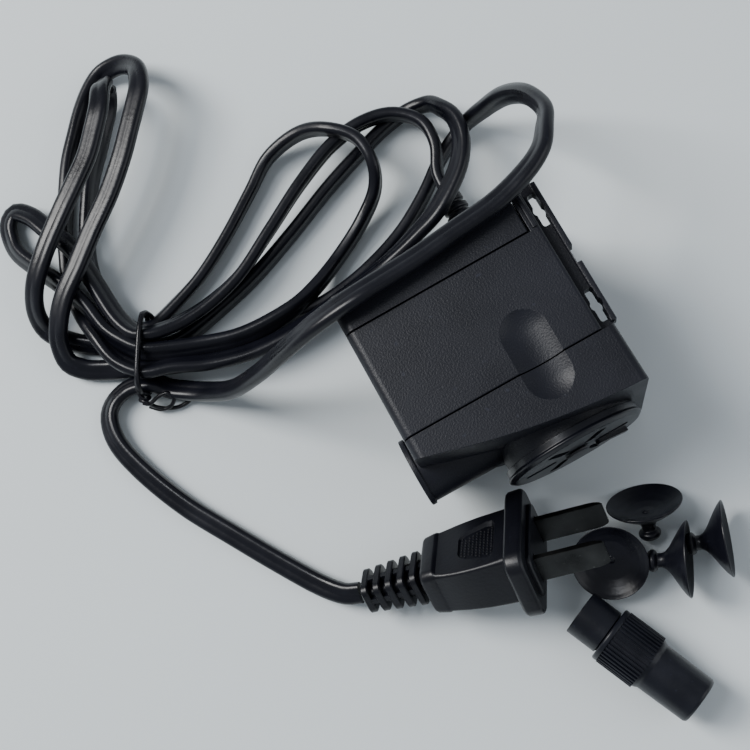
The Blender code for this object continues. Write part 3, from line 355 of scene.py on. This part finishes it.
def bar(start, end, radius, sides=64):
    """A straight round bar between two points."""
    start, end = Vector(start) * MM, Vector(end) * MM
    shape = bmesh.new()
    bmesh.ops.create_cone(shape, cap_ends=True, segments=sides, radius1=radius * MM,
                          radius2=radius * MM, depth=(end - start).length)
    turn = (end - start).to_track_quat("Z", "Y").to_matrix().to_4x4()
    return moved(new_mesh(shape), Matrix.Translation((start + end) / 2) @ turn)


def on_axis(y):
    return Matrix.Translation(Vector((AXIS_X, y, AXIS_Z)) * MM) @ TO_FRONT


def puck(radius, front, back, sides=96):
    return bar((AXIS_X, front, AXIS_Z), (AXIS_X, back, AXIS_Z), radius, sides)


def skin(sections, ring=False):
    """A closed skin over sections that all have the same number of points. A ring joins its
    last section to its first, and anything else has flat ends."""
    shape = bmesh.new()
    rings = [[shape.verts.new(Vector(p) * MM) for p in section] for section in sections]
    count = len(rings[0])
    for one, two in zip(rings, rings[1:] + (rings[:1] if ring else [])):
        for i in range(count):
            shape.faces.new((one[i], one[(i + 1) % count], two[(i + 1) % count], two[i]))
    if not ring:
        shape.faces.new(rings[0])
        shape.faces.new(rings[-1])
    return new_mesh(shape)


def merged(*meshes):
    """One mesh that holds several closed shapes."""
    shape = bmesh.new()
    for mesh in meshes:
        shape.from_mesh(mesh)
    return new_mesh(shape)


def as_object(mesh):
    thing = bpy.data.objects.new("step", mesh)
    bpy.context.scene.collection.objects.link(thing)
    return thing


def carved(base, *steps, solver="EXACT"):
    """Joins ('+', mesh) and cuts ('-', mesh) one after another."""
    for sign, other in steps:
        one, two = as_object(base), as_object(other)
        cut = one.modifiers.new("cut", "BOOLEAN")
        cut.operation = "UNION" if sign == "+" else "DIFFERENCE"
        cut.solver, cut.object = solver, two
        view = bpy.context.evaluated_depsgraph_get()
        base = bpy.data.meshes.new_from_object(one.evaluated_get(view), depsgraph=view)
        bpy.data.objects.remove(one)
        bpy.data.objects.remove(two)
    return base


def softened(mesh, radius, test, segments=2):
    """Rounds the sharp edges whose middle, in millimetres, passes the test."""
    shape = bmesh.new()
    shape.from_mesh(mesh)
    bmesh.ops.remove_doubles(shape, verts=shape.verts, dist=WELD)
    edges = [e for e in shape.edges if len(e.link_faces) == 2 and e.calc_face_angle() > 0.7
             and test((e.verts[0].co + e.verts[1].co) / 2 / MM)]
    bmesh.ops.bevel(shape, geom=edges, offset=radius * MM, segments=segments, profile=0.5,
                    affect="EDGES", clamp_overlap=True)
    shape.to_mesh(mesh)
    shape.free()
    return mesh


def show(name, mesh, body, slot, angle=32):
    """Puts a finished mesh in the scene as the piece that stands for the CAD node of that name.
    Edges sharper than angle degrees stay crisp."""
    shape = bmesh.new()
    shape.from_mesh(mesh)
    bmesh.ops.remove_doubles(shape, verts=shape.verts, dist=WELD)
    for face in shape.faces:
        face.smooth = True
    for edge in shape.edges:
        edge.smooth = len(edge.link_faces) == 2 and edge.calc_face_angle() < math.radians(angle)
    shape.to_mesh(mesh)
    shape.free()
    thing = as_object(mesh)
    flatten = thing.modifiers.new("flatten", "WEIGHTED_NORMAL")
    flatten.keep_sharp, flatten.weight = True, 80
    view = bpy.context.evaluated_depsgraph_get()
    mesh = bpy.data.meshes.new_from_object(thing.evaluated_get(view), depsgraph=view)
    thing.modifiers.clear()
    thing.data = mesh
    mesh.materials.clear()
    mesh.materials.append(LOOKS[slot])
    thing.name = mesh.name = name + "_look"
    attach(thing, body)
    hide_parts(name)
    return thing


# ------------------------------------------------------------------ mains lead

def catmull(corners, part):
    """A point on the centripetal Catmull-Rom curve between the second and third corners."""
    knots = [0.0]
    for one, two in zip(corners, corners[1:]):
        knots.append(knots[-1] + math.sqrt(max((two - one).length, 1e-6)))
    before, one, two, after = corners
    t0, t1, t2, t3 = knots
    t = t1 + (t2 - t1) * part
    a1 = before.lerp(one, (t - t0) / (t1 - t0))
    a2 = one.lerp(two, (t - t1) / (t2 - t1))
    a3 = two.lerp(after, (t - t2) / (t3 - t2))
    b1 = a1.lerp(a2, (t - t0) / (t2 - t0))
    b2 = a2.lerp(a3, (t - t1) / (t3 - t1))
    return b1.lerp(b2, (t - t1) / (t2 - t1))


def curve_through(points, per_span=10):
    """A smooth line through 3-D or longer points."""
    points = [Vector(p) for p in points]
    padded = [2 * points[0] - points[1]] + points + [2 * points[-1] - points[-2]]
    fine = []
    for corners in zip(padded, padded[1:], padded[2:], padded[3:]):
        fine += [catmull(corners, part / per_span) for part in range(per_span)]
    return fine + [points[-1]]


def evenly(line, step):
    """Points along a line at an even distance near step millimetres."""
    spans = [(b.to_3d() - a.to_3d()).length for a, b in zip(line, line[1:])]
    count = round(sum(spans) / step)
    even, out, travelled = sum(spans) / count, [line[0]], 0.0
    for one, two, span in zip(line, line[1:], spans):
        while len(out) < count and travelled + span >= even * len(out):
            out.append(one.lerp(two, (even * len(out) - travelled) / span))
        travelled += span
    return out + [line[-1]]


def cord_outline():
    """Cross-section of the flat two-core cord: (across, through) points round it."""
    half, side = CORD_WIDTH / 2, CORD_THICKNESS / 2
    arc = [math.radians(angle) for angle in (90, 65, 40, 18, 0)]
    top = [(-0.9, side), (-0.3, side - 0.02), (0, side - 0.12), (0.3, side - 0.02), (0.9, side)]
    bend = [(half - CORD_CORNER + CORD_CORNER * math.cos(a), side - CORD_CORNER + CORD_CORNER * math.sin(a))
            for a in arc]
    bend += [(u, -v) for u, v in bend[::-1]]
    half_way = top + bend
    return half_way + [(-u, -v) for u, v in half_way]


def flat_cord(points):
    """Sweeps the cord's outline along the points. Each point's fourth number is its tilt."""
    outline, sections = cord_outline(), []
    for i, point in enumerate(points):
        ahead = points[min(i + 1, len(points) - 1)].to_3d() - points[max(i - 1, 0)].to_3d()
        level = Vector((-ahead.y, ahead.x, 0)).normalized()
        rise = ahead.normalized().cross(level)
        rise = rise if rise.z > 0 else -rise
        tilt = math.radians(point[3])
        wide = level * math.cos(tilt) + rise * math.sin(tilt)
        thin = ahead.normalized().cross(wide)
        sections.append([point.to_3d() + wide * u + thin * v for u, v in outline])
    return skin(sections)


def power_cord(with_pieces):
    route = (LEAD_FROM_PUMP + LEFT_LOOP_ONE + RIGHT_LOOP_ONE + LEFT_LOOP_TWO + RIGHT_LOOP_TWO
             + LEFT_LOOP_THREE + RIGHT_LOOP_THREE + LEAD_TO_PLUG)
    line = evenly(curve_through(route), CORD_STEP)
    cord = show("power_cord", flat_cord(line), "pump", "cord_pvc", 50)


def wire(points, radius, closed=False, sides=10):
    """A thin round wire along a smooth line, as a mesh."""
    line = [p.to_3d() for p in points]
    sections = []
    for i, point in enumerate(line):
        if closed:
            ahead = line[(i + 1) % len(line)] - line[i - 1]
        else:
            ahead = line[min(i + 1, len(line) - 1)] - line[max(i - 1, 0)]
        side = ahead.cross(Vector((0.31, 0.17, 0.93))).normalized()
        rise = side.cross(ahead.normalized())
        sections.append([point + (side * math.cos(a) + rise * math.sin(a)) * radius
                         for a in (math.tau * k / sides for k in range(sides))])
    return skin(sections, closed)


def tie():
    """Wire tie twice round the seven passes of the lead, knotted, with two loose loops."""
    across = Vector((-TIE_ALONG.y, TIE_ALONG.x, 0))

    def wrap(along, half_width, half_height, shift):
        points = []
        for step in range(48):
            angle = math.tau * step / 48
            side = abs(math.cos(angle)) ** TIE_SQUARENESS * math.copysign(1, math.cos(angle))
            rise = abs(math.sin(angle)) ** TIE_SQUARENESS * math.copysign(1, math.sin(angle))
            points.append(TIE_CENTRE + TIE_ALONG * (along + shift * math.sin(angle)) + across
                          * (0.5 + side * half_width) + Vector((0, 0, 0.2 + rise * half_height)))
        return wire(points, TIE_WRAP_RADIUS, True)

    turns = merged(wrap(-0.2, 9.4, 5.1, 0.5), wrap(0.7, 9.6, 5.3, -0.5))
    wraps = show("twist_tie", turns, "pump", "tie_plastic", 60)
    knot = TIE_CENTRE - across * 10.0 + Vector((0, 0, -1.6))

    def strand(route):
        points = [knot + TIE_ALONG * a + across * b + Vector((0, 0, c)) for a, b, c in route]
        return wire(curve_through(points, 6), TIE_STRAND_RADIUS)

    ends = strand([(-0.8, 1.0, 1.6), (0.6, -0.6, 0.8), (1.4, 0.3, -0.4), (0.2, 0.8, -0.9),
                   (-0.6, -0.4, 0.2), (0.8, -1.0, 1.2), (3.0, -1.8, -1.6), (6.0, -1.9, -2.8),
                   (9.0, -1.0, -3.2), (11.2, 0.8, -2.6), (11.6, 2.6, -1.6)])
    second = strand([(0.2, -1.2, 0.6), (1.6, -1.4, 0.4), (4.0, 0.6, 0.2), (6.2, 1.2, 0.4),
                     (7.4, 0.0, -0.4), (6.2, -1.6, -1.8), (3.6, -2.2, -2.6), (1.0, -1.6, -2.0)])
    tail = show("tie_tail", merged(ends, second), "pump", "tie_plastic", 60)
    return [wraps, tail]


# ------------------------------------------------------------------ plug

def plug_place():
    turn = Euler([math.radians(a) for a in PLUG_ANGLES], "XYZ").to_matrix().to_4x4()
    return Matrix.Translation(Vector(PLUG_TAIL) * MM) @ turn


def squarish(along, half_width, half_height, corner, sides=6):
    """A rounded rectangle across the plug at one distance along it."""
    points = []
    for turn, (sy, sz) in enumerate(((1, 1), (-1, 1), (-1, -1), (1, -1))):
        for step in range(sides + 1):
            angle = math.radians(90 * turn + 90 * step / sides)
            points.append((along, sy * (half_width - corner) + corner * math.cos(angle),
                           sz * (half_height - corner) + corner * math.sin(angle)))
    return points


def plug_body(place):
    """Body with a collar at the cord end, a dished grip patch on each broad side, a thick
    flange and a raised face."""
    body = skin([squarish(*s) for s in (
        (15.3, 6.3, 4.9, 2.0), (15.7, 7.0, 5.6, 2.0), (16.2, 7.2, 5.9, 1.9), (18.4, 7.5, 6.2, 1.8),
        (18.9, 7.5, 6.1, 1.5), (19.4, 7.5, 5.6, 1.0), (21, 7.85, 5.5, 0.8), (23.5, 8.3, 5.6, 0.7),
        (26, 8.6, 5.75, 0.7), (29, 8.8, 5.95, 0.7), (32, 8.85, 6.15, 0.8), (36.3, 8.9, 6.6, 1.2))])
    flange = skin([squarish(*s) for s in (
        (35.7, 12.2, 7.7, 3.0), (36.1, 12.9, 8.4, 3.4), (36.6, 13.2, 8.7, 3.6), (39.2, 13.3, 8.8, 3.6),
        (39.7, 13.1, 8.6, 3.5), (40.0, 12.7, 8.2, 3.2))])
    face = skin([squarish(*s) for s in (
        (39.5, 10.4, 5.6, 2.2), (40.7, 10.4, 5.6, 2.2), (41.0, 10.1, 5.3, 2.0))])
    steps = [("+", flange), ("+", face)]
    for offset in (-BLADE_OFFSET, BLADE_OFFSET):
        steps.append(("-", slab((34, offset - 1.0, -3.45), (45, offset + 1.0, 3.45))))
    for side in (1, -1):
        pad = skin([[(x, y, side * z) for x, y in grip_outline(grow)]
                    for z, grow in ((7.5, 0.9), (5.9, 0.0), (5.15, -0.6))])
        steps.append(("-", pad))
    body = carved(body, *steps)
    body = merged(body, grip_dots(1), grip_dots(-1))
    return show("plug_body", moved(body, place), "pump", "plug_pvc", 34)


def grip_outline(grow):
    """The trapezoid grip patch, wider towards the flange, as (along, across) points."""
    corners = [(24.2, -2.4), (24.7, -3.5), (26.0, -4.4), (30.8, -5.9), (32.2, -5.7), (32.8, -4.4),
               (32.8, 4.4), (32.2, 5.7), (30.8, 5.9), (26.0, 4.4), (24.7, 3.5), (24.2, 2.4)]
    middle = Vector((28.8, 0))
    return [tuple(middle + (Vector(c) - middle) * (1 + grow / 6)) for c in corners]


def grip_dots(side):
    """Rows of small round studs on the floor of a grip patch, as one mesh."""
    shape = bmesh.new()
    for row in range(9):
        x = 25.2 + 0.86 * row
        reach = 2.9 + 2.0 * row / 8
        for column in range(-6, 7):
            y = column * 0.9 + (0.45 if row % 2 else 0)
            if abs(y) > reach:
                continue
            stud = bmesh.ops.create_uvsphere(shape, u_segments=8, v_segments=6, radius=0.25 * MM)
            bmesh.ops.translate(shape, verts=stud["verts"], vec=Vector((x, y, side * 5.2)) * MM)
    return new_mesh(shape)


def plug_relief(place):
    """Rings round the cord joined by bars on each side, smaller towards the cord."""
    core = skin([squarish(x, w, h, 1.3) for x, w, h in ((0.2, 3.0, 2.0), (15.0, 3.6, 2.9))])
    steps = []
    for number in range(5):
        x, size = 0.4 + 3.0 * number, 4.35 + 0.2 * number
        steps.append(("+", skin([squarish(x + dx, size + grow, size * 0.88 + grow, 1.9) for dx, grow in (
            (0, -0.25), (0.25, 0), (1.35, 0), (1.6, -0.25))])))
    for turn in range(4):
        spin = Matrix.Rotation(math.radians(90 * turn), 4, "X")
        reach = 4.3 if turn % 2 == 0 else 3.8
        rib = slab((0.8, reach - 1.7, -0.7), (14.6, reach - 0.15, 0.7))
        steps.append(("+", moved(rib, spin)))
    relief = carved(core, *steps)
    return show("plug_strain_relief", moved(relief, place), "pump", "plug_pvc", 34)


def blade(name, offset, place):
    """A flat contact with a chamfered tip and softened long edges."""
    def section(x, half_thick, half_wide):
        return squarish(x, half_thick, half_wide, min(0.18, half_thick * 0.5), 2)

    strip = skin([section(*s) for s in ((34.4, 0.75, 3.17), (53.4, 0.75, 3.17), (54.6, 0.66, 3.12),
                                        (55.7, 0.44, 2.95), (56.2, 0.3, 2.6))])
    for point in strip.vertices:
        point.co.y += offset * MM
    return show(name, moved(strip, place), "pump", "blade_metal", 25)


def plug():
    place = plug_place()
    return [plug_body(place), plug_relief(place), blade("plug_blade_1", BLADE_OFFSET, place),
            blade("plug_blade_2", -BLADE_OFFSET, place)]


# ------------------------------------------------------------------ housing

def everywhere(middle):
    return True


def finger_recess():
    """A long shallow thumb hollow across the split, cut by a capsule."""
    straight = HOLLOW_LENGTH / 2 - HOLLOW_HALF_WIDTH
    radius = (HOLLOW_HALF_WIDTH ** 2 + HOLLOW_DEPTH ** 2) / (2 * HOLLOW_DEPTH)
    angles = [math.radians(3 * step) for step in range(31)]
    profile = [(radius * math.sin(a), straight + radius * math.cos(a)) for a in angles]
    profile += [(r, -z) for r, z in profile[::-1]]
    centre = Vector((HOLLOW_X, HOLLOW_Y, HEIGHT - HOLLOW_DEPTH + radius))
    capsule = [(0, profile[0][1])] + profile[1:-1] + [(0, profile[-1][1])]
    return lathe(capsule, Matrix.Translation(centre * MM) @ TO_FRONT, 144, 0)


def ear(low, high):
    """One mounting ear: a strip with a raised outer rim, a notch and two keyholes."""
    plate = slab((RIGHT - 1.5, SPLIT + 0.4, low), (EAR_OUTER, BACK + 1.6, high),
                 [(2, 1.6, lambda m: m.x > 25), (1, 0.25, lambda m: m.x > 25)])
    rim = slab((EAR_OUTER - 1.5, SPLIT + 1, low - 0.8), (EAR_OUTER, BACK + 1.0, high + 1.2),
               [(1, 0.5, everywhere), (2, 0.4, everywhere)])
    notch = slab((EAR_OUTER - 1.1, NOTCH_FRONT, low - 2), (EAR_OUTER + 1, NOTCH_BACK, high + 2))
    steps = [("+", rim), ("-", notch)]
    for centre in SLOT_CENTRES:
        slot = slab((SLOT_X - SLOT_HALF_WIDTH, centre - SLOT_HALF_LENGTH, low - 3),
                    (SLOT_X + SLOT_HALF_WIDTH, centre + SLOT_HALF_LENGTH, high + 3), [(2, 0.6, everywhere)])
        eye = bar((SLOT_X, centre, low - 3), (SLOT_X, centre, high + 3), EYE_RADIUS, 40)
        steps += [("-", slot), ("-", eye)]
    return carved(plate, *steps)


def on_skin(middle):
    return middle.z > HEIGHT - 0.1 or middle.z < 0.1 or middle.x < LEFT + 2.3 or middle.x > RIGHT - 0.9


def motor_housing():
    shell = slab((LEFT, SPLIT, 0), (RIGHT, BACK, HEIGHT),
                 [(1, LEFT_ROUNDING, lambda m: m.x < LEFT + 1),
                  (1, RIGHT_ROUNDING, lambda m: m.x > RIGHT - 1)])
    inside = (LEFT + WALL, RIGHT - WALL, WALL, HEIGHT - WALL)
    shell = carved(
        shell,
        ("-", slab((inside[0], BULKHEAD_BACK, inside[2]), (inside[1], BACK + 1, inside[3]))),
        ("-", slab((inside[0], SPLIT - 1, inside[2]), (inside[1], BULKHEAD_FRONT, inside[3]))),
        ("-", slab((LEFT - 1, PANEL_FRONT - GAP, -1), (PANEL_RIGHT + GAP, BACK + 1, HEIGHT + 1))),
        ("-", bar((AXIS_X, BULKHEAD_FRONT - 1, AXIS_Z), (AXIS_X, BULKHEAD_BACK + 1, AXIS_Z),
                  WELL_HOLE_RADIUS)),
        ("-", bar((LEFT - 2, OUTLET_Y, AXIS_Z), (LEFT + 4, OUTLET_Y, AXIS_Z), 7.7)))
    shell = softened(shell, SEAM_ROUNDING, lambda m: on_skin(m) and (
        abs(m.y - SPLIT) < 0.05 or abs(m.y - PANEL_FRONT + GAP) < 0.05
        or (abs(m.x - PANEL_RIGHT - GAP) < 0.05 and m.y > PANEL_FRONT)))
    shell = carved(
        shell,
        ("+", slab((RIDGE_LEFT, PANEL_FRONT, HEIGHT - 0.5), (RIDGE_RIGHT, BACK, HEIGHT + RIDGE_RISE),
                   [(1, 0.35, lambda m: m.z > HEIGHT)])),
        ("-", finger_recess()), ("+", ear(*UPPER_EAR)), ("+", ear(*LOWER_EAR)))
    show("motor_housing", shell, "pump", "housing_plastic")


def back_cover():
    shell = slab((LEFT, PANEL_FRONT, 0), (PANEL_RIGHT, BACK, HEIGHT),
                 [(1, LEFT_ROUNDING, lambda m: m.x < LEFT + 1), (1, 0.4, lambda m: m.x > 18),
                  (2, 1.0, lambda m: m.y > 21 and m.x < 0)])
    shell = carved(
        shell,
        ("-", slab((LEFT + WALL, PANEL_FRONT - 1, WALL), (PANEL_RIGHT - WALL, BACK - WALL, HEIGHT - WALL))),
        ("-", bar((GLAND_X, BACK - 4, GLAND_Z), (GLAND_X, BACK + 2, GLAND_Z), 3.4)))
    shell = softened(shell, SEAM_ROUNDING, lambda m: on_skin(m) and abs(m.y - PANEL_FRONT) < 0.05)
    show("back_cover", shell, "pump", "housing_plastic")


def gland():
    """Tapered strain relief with round ribs, from the back wall out to the cord."""
    profile = [(0, 18.2), (2.75, 18.2)]
    for number in range(GLAND_RIBS):
        high, radius = 17.0 - number * GLAND_PITCH, 2.9 + 0.2 * number
        profile += [(radius, high), (radius, high - 1.1)]
        profile += [(radius - 0.6, high - 1.3), (radius - 0.6, high - 1.9)]
    profile += [(4.6, 3.2), (4.6, 0.3), (3.05, 0.3), (3.05, -1.7), (0, -1.7)]
    place = Matrix.Translation(Vector((GLAND_X, BACK, GLAND_Z)) * MM) @ TO_FRONT.inverted()
    show("cable_gland", lathe(profile, place, 48, 0.25), "pump", "cord_pvc")


# ------------------------------------------------------------------ front cover group

def cover_front(part, inset):
    """Y of the cover's curved front. part is 0 at the outlet side and 1 at the ears' side."""
    return COVER_LEFT_FRONT - COVER_DEEPER * part - COVER_BULGE * 4 * part * (1 - part) + inset


def cover_shell(inset, low, high, edge):
    """The cover's outline between two heights, its rim rounded by edge."""
    left, flare, back = LEFT + inset, COVER_FLARE - inset, SPLIT - GAP
    corners = [(left, back + inset), (COVER_RIGHT - inset, back + inset)]
    for step in range(12):
        part = 1 - step / 11
        corners.append((left + (flare - left) * part, cover_front(part, inset)))
    shape = bmesh.new()
    base = shape.faces.new([shape.verts.new((x * MM, y * MM, low * MM)) for x, y in corners])
    raised = bmesh.ops.extrude_face_region(shape, geom=[base])["geom"]
    tops = [v for v in raised if isinstance(v, bmesh.types.BMVert)]
    bmesh.ops.translate(shape, verts=tops, vec=(0, 0, (high - low) * MM))
    bmesh.ops.recalc_face_normals(shape, faces=shape.faces[:])
    if edge:
        def bevel(radius, test):
            edges = [e for e in shape.edges if test(e.verts[0].co / MM, e.verts[1].co / MM)]
            bmesh.ops.bevel(shape, geom=edges, offset=radius * MM, segments=4, profile=0.5,
                            affect="EDGES", clamp_overlap=True)
        bevel(LEFT_ROUNDING,
              lambda a, b: abs(a.y - b.y) > 1 and abs(a.z - b.z) < 0.1 and max(a.x, b.x) < LEFT + 0.1)
        bevel(1.6, lambda a, b: abs(a.z - b.z) < 0.1 and abs(a.y - b.y) > 5 and min(a.x, b.x) > RIGHT)
        bevel(edge, lambda a, b: (min(a.z, b.z) > HEIGHT - 0.1 or max(a.z, b.z) < 0.1)
              and (a.y + b.y) / 2 < SPLIT - GAP - 3 and LEFT + 2.5 < (a.x + b.x) / 2 < RIGHT + 2.4
              and max(a.y, b.y) < SPLIT - GAP - 0.5)
    return new_mesh(shape)


def front_cover():
    shell = carved(
        cover_shell(0, 0, HEIGHT, 0.6),
        ("-", cover_shell(WALL, WALL, HEIGHT - WALL, 0)),
        ("+", puck(VOLUTE_RADIUS, -22.5, -10.5)),
        ("+", lathe([(0, 8.2), (14.8, 8.2), (BOSS_RADIUS, 0), (0, 0)], on_axis(-19.0), 128, 0.3)),
        ("+", bar((LEFT - 1.2, OUTLET_Y, AXIS_Z), (AXIS_X - 9.7, OUTLET_Y, AXIS_Z), OUTLET_RADIUS, 96)),
        ("+", lathe([(0, 0.6), (OUTLET_RIM, 0.6), (OUTLET_RIM, -0.6), (0, -0.6)],
                    Matrix.Translation(Vector((LEFT - 1.3, OUTLET_Y, AXIS_Z)) * MM)
                    @ Matrix.Rotation(math.radians(-90), 4, "Y"), 96, 0.3)),
        ("-", slab((-8.4, -11.3, 5), (AXIS_X + 16, -6, 37))),
        ("-", puck(CHAMBER_RADIUS, WEB_BACK, BULKHEAD_BACK)),
        ("-", puck(INTAKE_BORE, -28.2, WEB_FRONT)),
        ("-", puck(2.4, WEB_FRONT - 1, WEB_BACK + 1, 48)),
        ("-", bar((LEFT - 3, OUTLET_Y, AXIS_Z), (AXIS_X - 7, OUTLET_Y, AXIS_Z), OUTLET_BORE, 64)),
        solver="MANIFOLD")
    for number in range(INLET_EYES):
        angle = math.radians(45 + 90 * number)
        x, z = AXIS_X + EYE_CIRCLE * math.cos(angle), AXIS_Z + EYE_CIRCLE * math.sin(angle)
        inlet = bar((x, WEB_FRONT - 1, z), (x, WEB_BACK + 1, z), INLET_RADIUS, 32)
        shell = carved(shell, ("-", inlet), solver="MANIFOLD")
    shell = softened(shell, SEAM_ROUNDING,
                     lambda m: (on_skin(m) or m.x > 24) and abs(m.y - SPLIT + GAP) < 0.05)
    shell = carved(shell, ("-", finger_recess()), solver="MANIFOLD")
    show("front_cover", shell, "cover", "housing_plastic")


def radial(degrees, inner, outer, width, front, back, ends=0.9):
    """A bar that points away from the motor axis."""
    turn = Matrix.Rotation(math.radians(degrees), 4, "Y")
    straight = slab((inner, front, -width / 2), (outer, back, width / 2), [(1, ends, everywhere)])
    return moved(straight, Matrix.Translation(Vector((AXIS_X, 0, AXIS_Z)) * MM) @ turn)


def dial():
    """Turning intake cap with a thin lip, a drawn-in wall, six slots and a grip bar."""
    depth, outer = DIAL_FRONT - DIAL_BACK, DIAL_RADIUS
    profile = [(0, 0), (outer - 0.9, 0), (outer, -0.7), (outer, -1.1), (outer - 0.4, -1.4),
               (outer - 0.4, depth), (15.3, depth), (15.3, -1.2), (0, -1.2)]
    cap = lathe(profile, on_axis(DIAL_FRONT), 160, 0.25)
    steps = [("-", puck(1.9, DIAL_FRONT - 1, DIAL_BACK, 48))]
    steps += [("-", radial(60 * n, 5.0, 12.4, 2.6, -30, DIAL_BACK)) for n in range(DIAL_SLOTS)]
    steps.append(("+", radial(30, 5.5, 14.0, 1.6, DIAL_FRONT - 0.8, DIAL_FRONT + 0.5, 0.5)))
    show("intake_dial", carved(cap, *steps), "dial", "dial_plastic")
    head = [(0, 0.8), (2.6, 0.8), (3.0, 0.3), (1.3, 0.3), (1.3, -2.8), (0, -2.8)]
    show("dial_pivot", lathe(head, on_axis(DIAL_FRONT), 48, 0.2), "cover", "pivot_nylon")


# ------------------------------------------------------------------ suction cups and adaptor

def suction_cup(name, rim_centre, facing):
    """Rubber cup: dish with a moulding pip, conical back, neck and mushroom knob."""
    profile = [(0, -2.1), (0.5, -2.15), (0.8, -2.55), (2.4, -2.5), (4.5, -2.1), (6.3, -1.35), (7.6, -0.6),
               (8.35, -0.02), (8.5, -0.12), (8.45, -0.35), (7.5, -1.25), (6.0, -2.3), (4.4, -3.3),
               (3.0, -4.2), (2.0, -5.1), (1.6, -5.9), (1.6, -6.9), (2.1, -7.15), (2.5, -7.6), (2.5, -8.2),
               (2.1, -8.9), (1.2, -9.15), (0, -9.2)]
    turn = Vector(facing).to_track_quat("Z", "Y").to_matrix().to_4x4()
    place = Matrix.Translation(Vector(rim_centre) * MM) @ turn
    show(name, lathe(profile, place, 80, 0.25), "pump", "cup_rubber", 50)


def adaptor():
    """Push-in sleeve and the knurled nut with its nozzle, axis level with the bench."""
    turn = Matrix.Rotation(math.radians(ADAPTOR_YAW), 4, "Z") @ Matrix.Rotation(math.radians(90), 4, "Y")
    place = Matrix.Translation(Vector(ADAPTOR_START) * MM) @ turn
    sleeve = [(4.1, 16.0), (4.7, 16.0), (4.7, 13.2), (4.4, 13.2), (4.4, 12.0), (4.7, 12.0), (4.7, 7.4),
              (5.2, 7.4), (5.2, 0.0), (4.1, 0.0)]
    show("adaptor_sleeve", lathe(sleeve, place, 72, 0.25), "pump", "adaptor_plastic")
    nut = [(4.0, 31.6), (5.1, 31.6), (5.5, 31.0), (5.65, 19.2), (6.0, 18.6), (6.1, 18.2), (6.1, 9.0),
           (6.45, 8.8), (6.45, 7.9), (6.2, 7.6), (5.05, 7.6), (5.05, 16.6), (4.0, 16.6)]
    body = lathe(nut, FLAT, 96, 0.25)
    shape = bmesh.new()
    for number in range(KNURL_RIBS):
        rib = slab((5.8, -0.22, 8.9), (6.58, 0.22, 18.0), [(2, 0.16, lambda m: m.x > 6)], 3)
        rib.transform(Matrix.Rotation(math.tau * number / KNURL_RIBS, 4, "Z"))
        shape.from_mesh(rib)
    body = carved(body, ("+", new_mesh(shape)))
    show("adaptor_collar", moved(body, place), "adaptor_nut", "adaptor_plastic")


# ------------------------------------------------------------------ build

def dress_inner_nodes():
    """The CAD nodes that stay take their slot's material."""
    slots = {s["node"]: s["material_slot"] for s in frame["record"]["subparts"]}
    for name, node in frame["nodes"].items():
        if not node.hide_render:
            node.data.materials.clear()
            node.data.materials.append(LOOKS[slots[name]])


camera()
power_cord(plug() + tie())
studio()
motor_housing()
back_cover()
gland()
front_cover()
dial()
for number, (rim_centre, facing) in enumerate(CUPS, 1):
    suction_cup(f"suction_cup_{number}", rim_centre, facing)
adaptor()
dress_inner_nodes()
